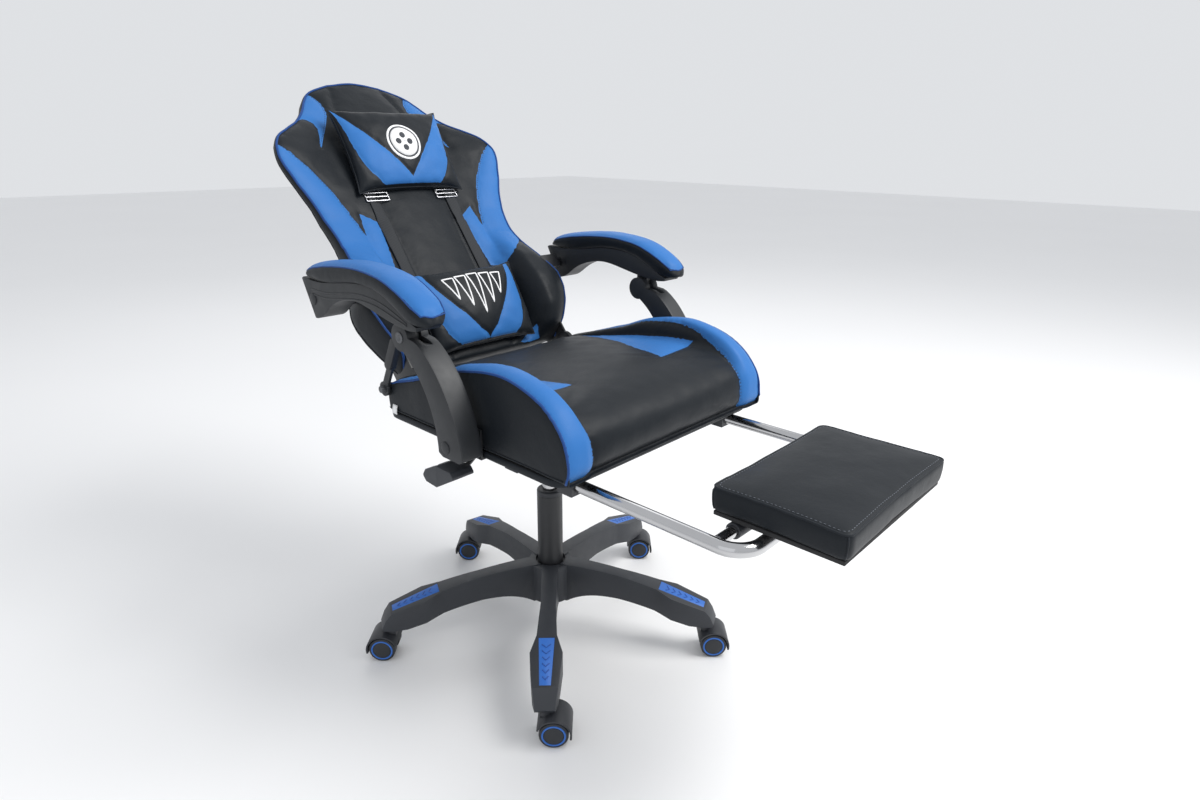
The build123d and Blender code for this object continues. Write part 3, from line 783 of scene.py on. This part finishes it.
def make_lumbar_pillow():
    """Lumbar pillow with a black V, a blue band under it, black ends and a plain zigzag motif."""
    side = smooth_path([(121, 36), (120, 70), (119, 118), (121, 165), (125, 197)], 6)
    top = smooth_path([(125, 197), (90, 191), (40, 189), (0, 189), (-40, 189), (-90, 191), (-125, 197)], 6)[1:]
    bottom = smooth_path([(-121, 36), (-80, 41), (-40, 42), (0, 42), (40, 42), (80, 41), (121, 36)], 6)[1:-1]
    ring = np.vstack([side, top, flip(side)[::-1][1:], bottom])
    vee = smooth_path([(0, 48), (21, 64), (43, 91), (66, 119), (87, 153), (102, 192)], 6)
    end = smooth_path([(66, 40), (90, 62), (103, 100), (110, 145), (114, 195)], 6)
    panel = np.vstack([vee, [(108, 200)], end[::-1], [(66, 34), (0, 34)]])
    front, back = pillow_faces(34, 199, 2, -20, 30, 127)
    cover = Cover("lumbar_pillow_cover", ring, two_sides([vee, end]), [(panel, 1), (flip(panel), 1)],
                  front, back, [BLACK, BLUE], step=6, rim_rows=2, crown=2.2, crown_width=12, groove=1.6,
                  groove_width=2.6, rim_crown=0.3)
    cover.inflate(pressure=1.5, cap=5).finish(creases=1.3, size=24, seed=9.0)
    place_piece(cover.object, "lumbar_rest", "black_leather", "lumbar_pillow")
    edge = tube("lumbar_pillow_edge", (cover.edge() + back(ring[:, 0], ring[:, 1])) / 2, 1.5, PIPING_BLACK, closed=True)
    place_piece(edge, "lumbar_rest", "black_leather")
    for number in range(5):
        middle_x, tip = 29 * (number - 2), 88 + 17 * abs(number - 2)
        high = 172 - 2 * abs(number - 2)
        lean_in = -4 * (number - 2)
        spike = [(middle_x - 12, high), (middle_x + 12, high), (middle_x + lean_in, tip)]
        line = straight_path(spike, 3, closed=True)
        spots, normals = cover.skin.lay(lean(line[:, 0], line[:, 1], 0), BEHIND, 0.5)
        mark = tube(f"lumbar_motif_{number + 1}", spots, 1.8, THREAD_WHITE, closed=True, flat=0.5,
                    flat_axis=normals, sides=6)
        place_piece(mark, "lumbar_rest", "webbing")


def make_straps(cover):
    """Elastic straps down the front of the backrest and the slim buckles under the head pillow."""
    straps = []
    for side in (-1, 1):
        line = straight_path([(side * 91, 150), (side * 91, 500)], 8)
        spots, normals = cover.skin.lay(lean(line[:, 0], line[:, 1], 0), BEHIND, 1.0)
        straps.append(tube("strap", spots, 12.5, WEBBING, flat=0.08, flat_axis=normals, sides=12))
    strap = join("pillow_strap_pair", straps)
    place_piece(strap, "backrest", "webbing", "pillow_straps")
    bars = []
    for side in (-1, 1):
        for low, high in ((385, 394), (394, 403)):
            frame_line = [(side * 58, low), (side * 108, low), (side * 108, high), (side * 58, high)]
            line = straight_path(frame_line, 4, closed=True)
            bars.append(tube("bar", lean(line[:, 0], line[:, 1], 14.5), 1.5, BUCKLE, closed=True, sides=8))
    buckles = join("strap_buckle_bars", bars)
    place_piece(buckles, "head_rest", "steel", "strap_buckles")


def join(name, objects):
    """Several mesh objects made into one."""
    work = bmesh.new()
    for piece in objects:
        work.from_mesh(piece.data)
    mesh = bpy.data.meshes.new(name)
    work.to_mesh(mesh)
    work.free()
    for mat in objects[0].data.materials:
        mesh.materials.append(mat)
    for piece in objects:
        bpy.data.objects.remove(piece)
    made = bpy.data.objects.new(name, mesh)
    bpy.context.scene.collection.objects.link(made)
    return made


# ---------------------------------------------------------------- seat
SEAT_RUN = 640  # length of the seat's top, from the rear edge over the front and down
SEAT_EDGE = 245
SEAT_U = 273  # half the width of the cover as cut: the steep inner faces take more cloth than their plan width
middle_profile = even_path(smooth_path([
    (147, 549), (100, 560), (30, 570), (-40, 578), (-160, 588), (-240, 582), (-284, 560), (-296, 522), (-289, 499),
], 4), 161)
side_profile = even_path(smooth_path([
    (147, 549), (100, 564), (60, 577), (-10, 600), (-66, 620), (-161, 632), (-245, 610), (-290, 567), (-302, 520),
    (-296, 499),
], 4), 161)


def seat_x(u):
    """Where a point of the cut cover lies across the seat."""
    return np.sign(u) * np.interp(np.abs(u), [0, 190, 236, SEAT_U], [0, 190, 210, SEAT_EDGE])


def seat_blend(u):
    """How far the section at u has risen from the middle profile to the bolster profile."""
    across = np.abs(u)
    return 0.1 * ramp(across, 120, 190) + 0.9 * ramp(across, 186, 240)


def seat_top(u, v):
    """Top of the seat: u across the cut cover, v along the profile from the rear edge."""
    at = np.clip(v / SEAT_RUN, 0, 1) * 160
    steps = np.arange(161)
    share = seat_blend(u)
    x = seat_x(u)
    y = np.interp(at, steps, middle_profile[:, 0]) * (1 - share) + np.interp(at, steps, side_profile[:, 0]) * share
    z = np.interp(at, steps, middle_profile[:, 1]) * (1 - share) + np.interp(at, steps, side_profile[:, 1]) * share
    fall = 5 * ramp(np.abs(x), 226, SEAT_EDGE) * ramp(z, 520, 600)
    return np.stack([x, y, z - fall], -1)


def seat_bottom(u, v):
    """Underside of the seat, flat on its board."""
    top = seat_top(u, v)
    top[..., 2] = 497.0
    return top


def seat_v(x, y):
    """Where along the profile the seat's top at x reaches y."""
    runs = np.linspace(0, SEAT_RUN * 0.8, 400)
    line = seat_top(np.full(400, float(x)), runs)[:, 1]
    return float(np.interp(-y, -line, runs))


def make_seat():
    """Seat cushion with raised blue-topped bolsters, black sides and two blue patches."""
    ring = straight_path([(SEAT_U, 0), (SEAT_U, SEAT_RUN), (-SEAT_U, SEAT_RUN), (-SEAT_U, 0)], 8, closed=True)
    band_in = smooth_path([(264, 0), (253, 40), (244, 90), (237, 160), (231, 300), (223, 400), (210, 470),
                           (198, 550), (191, SEAT_RUN)], 7)
    base_seam = smooth_path([(194, 0), (197, 60), (199, 160), (200, 300), (203, 400), (210, 470)], 7)
    rear, front = seat_v(194, 100), seat_v(194, -180)
    patch = snap_ends(np.vstack([straight_path([(200, front), (113, seat_v(113, -176))], 7)[:-1], smooth_path([
        (113, seat_v(113, -176)), (134, seat_v(134, -100)), (158, seat_v(158, -38)), (182, seat_v(182, 40)),
        (197, rear)], 7)]), base_seam, 12)
    seams = two_sides([band_in, base_seam, patch])
    band = np.vstack([band_in, [(SEAT_U + 10, SEAT_RUN + 5), (SEAT_U + 10, -5), (264, -5)]])
    between = base_seam[(base_seam[:, 1] > patch[-1, 1]) & (base_seam[:, 1] < patch[0, 1])]
    patch_area = np.vstack([patch, between])
    panels = [(band, 1), (flip(band), 1), (patch_area, 1), (flip(patch_area), 1)]
    cover = Cover("seat_cover", ring, seams, panels, seat_top, seat_bottom, [BLACK, BLUE], step=9,
                  rim_rows=8, crown=3.0, crown_width=20, groove=2.0, groove_width=3.4, rim_crown=2.0)
    cover.inflate(pressure=1.2, cap=6).finish(creases=1.0, size=34, seed=3.0)
    place_piece(cover.object, "seat", "black_leather", "seat_cushion", "seat_bolster_left", "seat_bolster_right")
    for side, word in ((1, "left"), (-1, "right")):
        edge = straight_path([(side * SEAT_U, 0), (side * SEAT_U, SEAT_RUN)], 8)
        line = cover.skin.hug(seat_top(edge[:, 0], edge[:, 1]) + np.array([side * 0.8, 0, 0.8]), 0.5)
        piping = tube(f"seat_piping_{word}", line, 2.0, PIPING_BLUE)
        place_piece(piping, "seat", "blue_leather")
        shifted = band_in[2:-2] * np.array([side, 1]) + np.array([side * 3.4, 0])
        spots, normals = cover.skin.lay(seat_top(shifted[:, 0], shifted[:, 1]), (0, 0.35, -1), 0.2)
        row = stitches(f"seat_stitching_{word}", spots, normals, THREAD_DARK)
        place_piece(row, "seat", "webbing")
        lower = straight_path([(side * SEAT_EDGE, -290, 502), (side * SEAT_EDGE, 146, 502)], 9)
        spots, normals = cover.skin.lay(lower, (-side, 0, 0), 0.4)
        seam = tube(f"seat_lower_seam_{word}", spots, 1.3, PIPING_BLACK)
        place_piece(seam, "seat", "black_leather")
    return cover


def make_seat_skirt():
    """Cover of the seat board: a thin wrapped edge that hides the plywood."""
    low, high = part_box("seat_board")
    x1, y1 = high.x / MM, high.y / MM
    y0 = low.y / MM
    corner = 30
    path = []
    for cx, cy, start in ((x1 - corner, y1 - corner, 0), (-x1 + corner, y1 - corner, 90),
                          (-x1 + corner, y0 + corner, 180), (x1 - corner, y0 + corner, 270)):
        for k in range(6):
            turn = math.radians(start + 18 * k)
            path.append((cx + (corner + 1.6) * math.cos(turn), cy + (corner + 1.6) * math.sin(turn)))
    ring = straight_path(path, 12, closed=True)
    heights = [484.6, 485.0, 488.0, 492.0, 496.2]
    bulge = [-4.0, 0.0, 0.8, 0.8, 0.2]
    middle = ring.mean(0)
    out = (ring - middle) / np.linalg.norm(ring - middle, axis=1)[:, None]
    points, faces = [], []
    for z, b in zip(heights, bulge):
        q = ring + out * b
        points.append(np.c_[q, np.full(len(q), z)])
    for z, b in zip(heights[::-1], bulge[::-1]):
        q = ring + out * (b - 1.2)
        points.append(np.c_[q, np.full(len(q), z + (0.8 if z < 486 else 0))])
    n, rows = len(ring), len(points)
    for k in range(rows):
        m = (k + 1) % rows
        for i in range(n):
            j = (i + 1) % n
            faces.append((k * n + i, k * n + j, m * n + j, m * n + i))
    made = new_object("seat_board_wrap", np.vstack(points), faces, [BLACK])
    face_outwards(made)
    place_piece(made, "seat", "black_leather")


# ---------------------------------------------------------------- arm pads
pad_top = even_path(smooth_path([
    (270, 733), (258, 745), (200, 757), (120, 765), (60, 764), (8, 756), (-35, 739), (-66, 720), (-81, 703),
], 4), 101)
pad_under = even_path(smooth_path([
    (272, 728), (198, 725), (112, 736), (62, 736), (28, 731), (-3, 720), (-32, 704), (-56, 694), (-74, 694),
], 4), 101)
PAD_RUN = 380
pad_half = table([(0, 17), (14, 23), (60, 26), (200, 28), (290, 30), (340, 28.5), (362, 23), (374, 14), (380, 5)])


def make_arm_pad(side, word):
    """Arm pad: a blue top over black gathered sides."""
    middle = side * (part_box(f"armrest_pad_{word}")[0].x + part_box(f"armrest_pad_{word}")[1].x) / 2 / MM * side

    def lift_line(u, v, profile, drop):
        at = np.clip(v / PAD_RUN, 0, 1) * 100
        y = np.interp(at, np.arange(101), profile[:, 0])
        z = np.interp(at, np.arange(101), profile[:, 1])
        across = np.abs(u) / np.maximum(pad_half(v), 1)
        return np.stack([middle + u, y, z - drop * np.clip(across, 0, 1) ** 3], -1)

    def top(u, v):
        return lift_line(u, v, pad_top, 7)

    def under(u, v):
        flat = lift_line(u, v, pad_under, 0)
        flat[..., 0] = middle + u * 0.9
        return flat

    runs = np.r_[np.linspace(0, 350, 44), np.array([356, 362, 367, 371, 375, 378])]
    near = np.c_[pad_half(runs), runs]
    tip = np.array([(0, PAD_RUN)])
    ring = np.vstack([near, tip, flip(near)[::-1], [(8, 0), (0, 0), (-8, 0)][::-1]])
    inner = np.c_[pad_half(runs[2:-4]) - 2.0, runs[2:-4]]
    seam = np.vstack([inner, smooth_path([inner[-1], (0, 372), flip(inner)[-1]], 5)[1:-1], flip(inner)[::-1],
                      straight_path([flip(inner)[0], inner[0]], 5)[1:]])
    cover = Cover(f"arm_pad_cover_{word}", ring, [seam], [(seam, 1)], top, under, [BLACK, BLUE], step=6,
                  rim_rows=5, crown=2.2, crown_width=9, groove=1.0, groove_width=2.0, rim_crown=2.6)
    cover.inflate(pressure=1.2, cap=3)
    gather(cover.object, -10, 0.9)
    cover.finish(creases=0.5, size=20, seed=11.0 + side)
    place_piece(cover.object, f"armrest_{word}", "blue_leather", f"armrest_pad_{word}")
    path = top(seam[:-1, 0], seam[:-1, 1])
    spots, normals = cover.skin.lay(path, (0, 0.25, -1), 0.25)
    welt = tube(f"arm_pad_welt_{word}", spots, 1.2, PIPING_BLUE, closed=True, sides=6)
    place_piece(welt, f"armrest_{word}", "blue_leather")


def gather(made, front_y, amount):
    """Small pleats in the sides of a pad near its nose."""
    for vertex in made.data.vertices:
        x, y, z = vertex.co / MM
        near = float(ramp(-y, -front_y, -front_y + 50))
        slope = 1 - abs(vertex.normal.z)
        wave = math.sin((abs(x) + 0.8 * y + 0.2 * z) * 0.9) * amount * near * slope
        vertex.co += vertex.normal * wave * MM


# ---------------------------------------------------------------- footrest pad
def make_footrest_pad():
    """Footrest pad with a crowned top, drawn-in sides and double-stitched seams."""
    low, high = (np.array(c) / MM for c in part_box("footrest_pad"))
    cx, cy = (low[0] + high[0]) / 2, (low[1] + high[1]) / 2
    a, b = (high[0] - low[0]) / 2 - 2.5, (high[1] - low[1]) / 2 - 2.5
    corner, pull = 12, 3.0
    loop = []
    for sx, sy, start in ((1, 1, 0), (-1, 1, 90), (-1, -1, 180), (1, -1, 270)):
        for k in range(5):
            turn = math.radians(start + 22.5 * k)
            loop.append((sx * (a - corner) + corner * math.cos(turn), sy * (b - corner) + corner * math.sin(turn)))
    ring = straight_path(loop, 8, closed=True)
    ring[:, 0] -= np.sign(ring[:, 0]) * pull * np.cos(ring[:, 1] / b * math.pi / 2) * (np.abs(ring[:, 0]) > a - 2)
    ring[:, 1] -= np.sign(ring[:, 1]) * pull * np.cos(ring[:, 0] / a * math.pi / 2) * (np.abs(ring[:, 1]) > b - 2)

    def top(u, v):
        dome = 4.5 * (1 - (u / a) ** 4) * (1 - (v / b) ** 4)
        return np.stack([cx + u, cy + v, high[2] - 4 + np.clip(dome, 0, 5)], -1)

    def under(u, v):
        return np.stack([cx + u * 0.985, cy + v * 0.985, 0 * u + low[2] + 0.8], -1)

    cover = Cover("footrest_cover", ring, [], [], top, under, [BLACK], step=8, rim_rows=6, crown=1.5,
                  crown_width=22, rim_crown=2.2)
    cover.inflate(pressure=1.5, cap=5).finish(creases=0.8, size=40, seed=7.0)
    place_piece(cover.object, "footrest_top", "black_leather", "footrest_pad")
    edge = cover.skin.hug(top(ring[:, 0], ring[:, 1]) + np.array([0, 0, 0.3]), 0.3)
    welt = tube("footrest_welt", edge, 1.7, PIPING_BLACK, closed=True)
    place_piece(welt, "footrest_top", "black_leather")
    inner = ring * np.array([(a - 6) / a, (b - 6) / b])
    inner = np.vstack([inner, inner[:1]])
    spots, normals = cover.skin.lay(top(inner[:, 0], inner[:, 1]), (0, 0, -1), 0.25)
    place_piece(stitches("footrest_stitching", spots, normals, THREAD_GREY), "footrest_top", "webbing")
    rows = []
    for sx in (-1, 1):
        for sy in (-1, 1):
            x, y = cx + sx * (a - 3), cy + sy * (b - 3)
            line = straight_path([(x, y, high[2] - 5), (x, y, low[2] + 3)], 5)
            spots, normals = cover.skin.lay(line, (-sx, -sy, 0), 0.3)
            rows.append(tube("seam", spots, 1.3, PIPING_BLACK))
    place_piece(join("footrest_corner_seams", rows), "footrest_top", "black_leather")


# ---------------------------------------------------------------- hard parts
FINISHES = {
    "base_plastic": BASE_PLASTIC, "insert_blue": INSERT_PLASTIC, "black_paint": PAINT, "chrome": CHROME,
    "steel": STEEL, "caster_plastic": CASTER_PLASTIC, "caster_wheel": WHEEL_PLASTIC, "arm_plastic": ARM_PLASTIC,
    "webbing": WEBBING, "board": BOARD, "black_leather": BLACK, "blue_leather": BLUE,
}
SHARP = ("lift_tube", "piston_rod", "footrest_frame", "pillow_straps", "column_tube", "gas_lever_rod")


def finish_hard_parts():
    """Procedural finish, softened edges and smooth shading for the CAD parts that stay visible."""
    slots = {part["node"]: part["material_slot"] for part in frame["record"]["subparts"]}
    for name, node in frame["nodes"].items():
        node.data.materials.clear()
        node.data.materials.append(FINISHES[slots[name]])
        node.data.polygons.foreach_set("use_smooth", np.full(len(node.data.polygons), True))
        node.data.polygons.foreach_set("material_index", np.zeros(len(node.data.polygons), np.int32))
        weld = node.modifiers.new("weld", "WELD")
        weld.merge_threshold = 0.00002
        if name not in SHARP:
            bevel = node.modifiers.new("bevel", "BEVEL")
            bevel.width = 0.0009
            bevel.segments = 2
            bevel.limit_method = "ANGLE"
            bevel.angle_limit = math.radians(34)
            bevel.use_clamp_overlap = True
            bevel.harden_normals = False
        split = node.modifiers.new("edges", "EDGE_SPLIT")
        split.split_angle = math.radians(38)


def joint_spot(name):
    """A joint's pivot in millimetres and its unit axis."""
    joint = next(j for j in frame["joints"] if j["name"] == name)
    axis = np.array(joint["axis"], float)
    return np.array(joint["pos_m"]) / MM, axis / np.linalg.norm(axis)


def turned(name, centre, axis, profile, mat, sides=40):
    """A turned piece: (radius, distance along the axis) pairs swept round the axis."""
    axis = np.array(axis, float) / np.linalg.norm(axis)
    side = np.cross(axis, (0.3, 0.2, 0.93))
    side /= np.linalg.norm(side)
    up = np.cross(axis, side)
    points, faces = [], []
    for radius, along in profile:
        for k in range(sides):
            turn = 2 * math.pi * k / sides
            points.append(centre + axis * along + max(radius, 0.01) * (math.cos(turn) * side + math.sin(turn) * up))
    closed = profile[0][0] > 0.02
    rows = len(profile)
    for r in range(rows if closed else rows - 1):
        for k in range(sides):
            m, n = (k + 1) % sides, (r + 1) % rows
            faces.append((r * sides + k, r * sides + m, n * sides + m, n * sides + k))
    made = new_object(name, points, faces, [mat])
    work = bmesh.new()
    work.from_mesh(made.data)
    bmesh.ops.remove_doubles(work, verts=work.verts, dist=0.00003)
    bmesh.ops.recalc_face_normals(work, faces=work.faces)
    work.to_mesh(made.data)
    work.free()
    return made


def make_wheel_trim():
    """Blue ring and domed hub cap on the outer face of each caster wheel."""
    for number in range(1, 6):
        centre, axis = joint_spot(f"wheel_spin_{number}")
        for side, word in ((1, "a"), (-1, "b")):
            face = 26.0
            ring = [(20.5, face - 1.2), (20.5, face + 0.4), (19.6, face + 1.0), (18.2, face + 1.0), (17.4, face + 0.4),
                    (17.4, face - 1.2)]
            made = turned(f"wheel_ring_{number}{word}", centre, axis * side, ring, INSERT_PLASTIC)
            place_piece(made, f"wheels_{number}", "insert_blue")
            cap = [(17.2, face - 1.0), (17.2, face + 0.2), (15.5, face + 1.0), (8, face + 1.6), (3, face + 1.8),
                   (0, face + 1.8)]
            made = turned(f"wheel_cap_{number}{word}", centre, axis * side, cap, WHEEL_PLASTIC)
            place_piece(made, f"wheels_{number}", "caster_wheel")


def make_insert_chevrons():
    """Raised chevrons down each blue insert of the base, in a darker blue that is painted groove shade."""
    swivel_1 = joint_spot("caster_swivel_1")[0]
    first = math.degrees(math.atan2(swivel_1[0], -swivel_1[1]))
    for number in range(5):
        turn = math.radians(first + 72 * number)
        out = np.array([math.sin(turn), -math.cos(turn), 0])
        across = np.array([math.cos(turn), math.sin(turn), 0])
        slope = -28 / 95
        bars = []
        for r in (240, 252, 264, 276, 288, 300):
            reach = 7.6 - (r - 240) * 0.045
            points = []
            for t in np.linspace(-1, 1, 9):
                run = r + 6 * (1 - abs(t))
                height = 129 + (run - 225) * slope
                points.append(out * run + across * reach * t + np.array([0, 0, height + 0.15]))
            bars.append(tube("bar", points, 1.25, INSERT_GROOVE_SHADE, flat=0.5, flat_axis=(0, 0, 1), sides=6))
        made = join(f"insert_chevrons_{number + 1}", bars)
        place_piece(made, "base", "insert_blue")


def make_pivot_caps():
    """Domed caps on the armrest pivots and post feet, and a steel socket bolt in each arm post's knuckle."""
    for side, word in ((1, "left"), (-1, "right")):
        spots = [
            (f"armrest_pivot_{word}", 312, f"armrest_{word}", 10, "armrest_rear_cap", "arm_plastic", ARM_PLASTIC),
            (f"post_pivot_{word}", 300, f"post_{word}", 10, "post_foot_cap", "arm_plastic", ARM_PLASTIC),
        ]
        for joint, face, body, radius, name, slot, mat in spots:
            spot, _ = joint_spot(joint)
            centre = np.array([side * face, spot[1], spot[2]])
            dome = [(radius, -0.5), (radius, 0.8), (radius * 0.85, 1.8), (radius * 0.4, 2.5), (0, 2.7)]
            made = turned(f"{name}_{word}", centre, (side, 0, 0), dome, mat, sides=32)
            place_piece(made, body, slot)
        knuckle = HINGE + np.array([0, 8 - 146, 664 - 538])
        centre = np.array([side * 300, knuckle[1], knuckle[2]])
        socket = [(9, -0.5), (9, 1.0), (8, 1.8), (5.2, 1.8), (4.6, 0.6), (0, 0.4)]
        made = turned(f"knuckle_bolt_{word}", centre, (side, 0, 0), socket, STEEL, sides=32)
        place_piece(made, f"post_{word}", "steel")


def make_shell_ribs():
    """Two moulded grooves' ridges along the outer face of each armrest shell."""
    for side, word in ((1, "left"), (-1, "right")):
        low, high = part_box(f"armrest_shell_{word}")
        face = (high.x if side > 0 else low.x) / MM
        ridges = []
        for drop in (9, 18):
            path = smooth_path([(face, 250, 716 - drop), (face, 196, 716 - drop), (face, 110, 727 - drop),
                                (face, 60, 727 - drop), (face, 26, 722 - drop), (face, -6, 711 - drop * 0.8),
                                (face, -34, 697 - drop * 0.35)], 8)
            ridges.append(tube("ridge", path, 1.6, ARM_PLASTIC, flat=0.7, flat_axis=(1, 0, 0), sides=8))
        made = join(f"armrest_shell_ribs_{word}", ridges)
        place_piece(made, f"armrest_{word}", "arm_plastic")


def make_white_strip():
    """Small white curved strip hanging at the seat's right side near its rear edge."""
    points = []
    for k in range(6):
        t = k / 5
        for y in (118, 132):
            points.append((-SEAT_EDGE - 2.5 - 2.5 * math.sin(t * 2.0), y, 512 - 16 * t))
    points += [(x + 0.8, y, z) for x, y, z in points]
    faces = []
    for k in range(5):
        a = 2 * k
        faces += [(a, a + 1, a + 3, a + 2), (a + 12, a + 14, a + 15, a + 13)]
        faces += [(a, a + 2, a + 14, a + 12), (a + 1, a + 13, a + 15, a + 3)]
    faces += [(0, 12, 13, 1), (10, 11, 23, 22)]
    made = new_object("white_strip", points, faces, [THREAD_WHITE])
    face_outwards(made)
    place_piece(made, "seat", "webbing")


# ---------------------------------------------------------------- stage
def make_stage():
    """Pale floor, soft studio light and the camera."""
    scene = bpy.context.scene
    mesh = bpy.data.meshes.new("floor")
    size = 14.0
    mesh.from_pydata([(-size, -size, 0), (size, -size, 0), (size, size, 0), (-size, size, 0)], [], [(0, 1, 2, 3)])
    floor = bpy.data.objects.new("floor", mesh)
    scene.collection.objects.link(floor)
    pale, nodes, links, shader = material("pale_floor", (0.86, 0.86, 0.865), 0.6)
    _, tone = blotches(nodes, links, 0.8, (0.85, 0.85, 0.855), (0.88, 0.88, 0.885))
    links.new(tone, shader.inputs["Base Color"])
    mesh.materials.append(pale)
    world = bpy.data.worlds.new("studio")
    world.use_nodes = True
    world.node_tree.nodes["Background"].inputs["Color"].default_value = (0.95, 0.97, 1.0, 1)
    world.node_tree.nodes["Background"].inputs["Strength"].default_value = 0.78
    scene.world = world
    for name, place, power, size, colour in (
        ("key", (1.3, -1.9, 3.1), 105, 1.8, (1.0, 0.99, 0.97)),
        ("fill", (-3.0, -0.9, 1.6), 6, 2.6, (0.95, 0.97, 1.0)),
        ("rim", (1.8, 2.4, 2.6), 14, 2.2, (1.0, 1.0, 1.0)),
    ):
        data = bpy.data.lights.new(name, "AREA")
        data.energy, data.size, data.color = power, size, colour
        lamp = bpy.data.objects.new(name, data)
        lamp.location = place
        lamp.rotation_euler = (Vector((0, -0.05, 0.5)) - Vector(place)).to_track_quat("-Z", "Y").to_euler()
        scene.collection.objects.link(lamp)
    data = bpy.data.cameras.new("camera")
    data.sensor_width = 36.0
    data.lens = 22.03
    camera = bpy.data.objects.new("camera", data)
    right = Vector((0.68021, -0.73296, 0.00953))
    above = Vector((0.23880, 0.23387, 0.94248))
    ahead = Vector((0.69303, 0.63881, -0.33411))
    turn = Matrix((right, above, -ahead)).transposed()
    camera.matrix_world = Matrix.Translation((-0.88938, -0.95186, 0.95079)) @ turn.to_4x4()
    scene.collection.objects.link(camera)
    scene.camera = camera
    scene.view_settings.view_transform = "Standard"


make_stage()
finish_hard_parts()
back = make_backrest()
make_back_shell_trim(back)
make_straps(back)
make_head_pillow()
make_lumbar_pillow()
make_seat()
make_seat_skirt()
for side, word in ((1, "left"), (-1, "right")):
    make_arm_pad(side, word)
make_footrest_pad()
make_wheel_trim()
make_insert_chevrons()
make_pivot_caps()
make_shell_ribs()
make_white_strip()
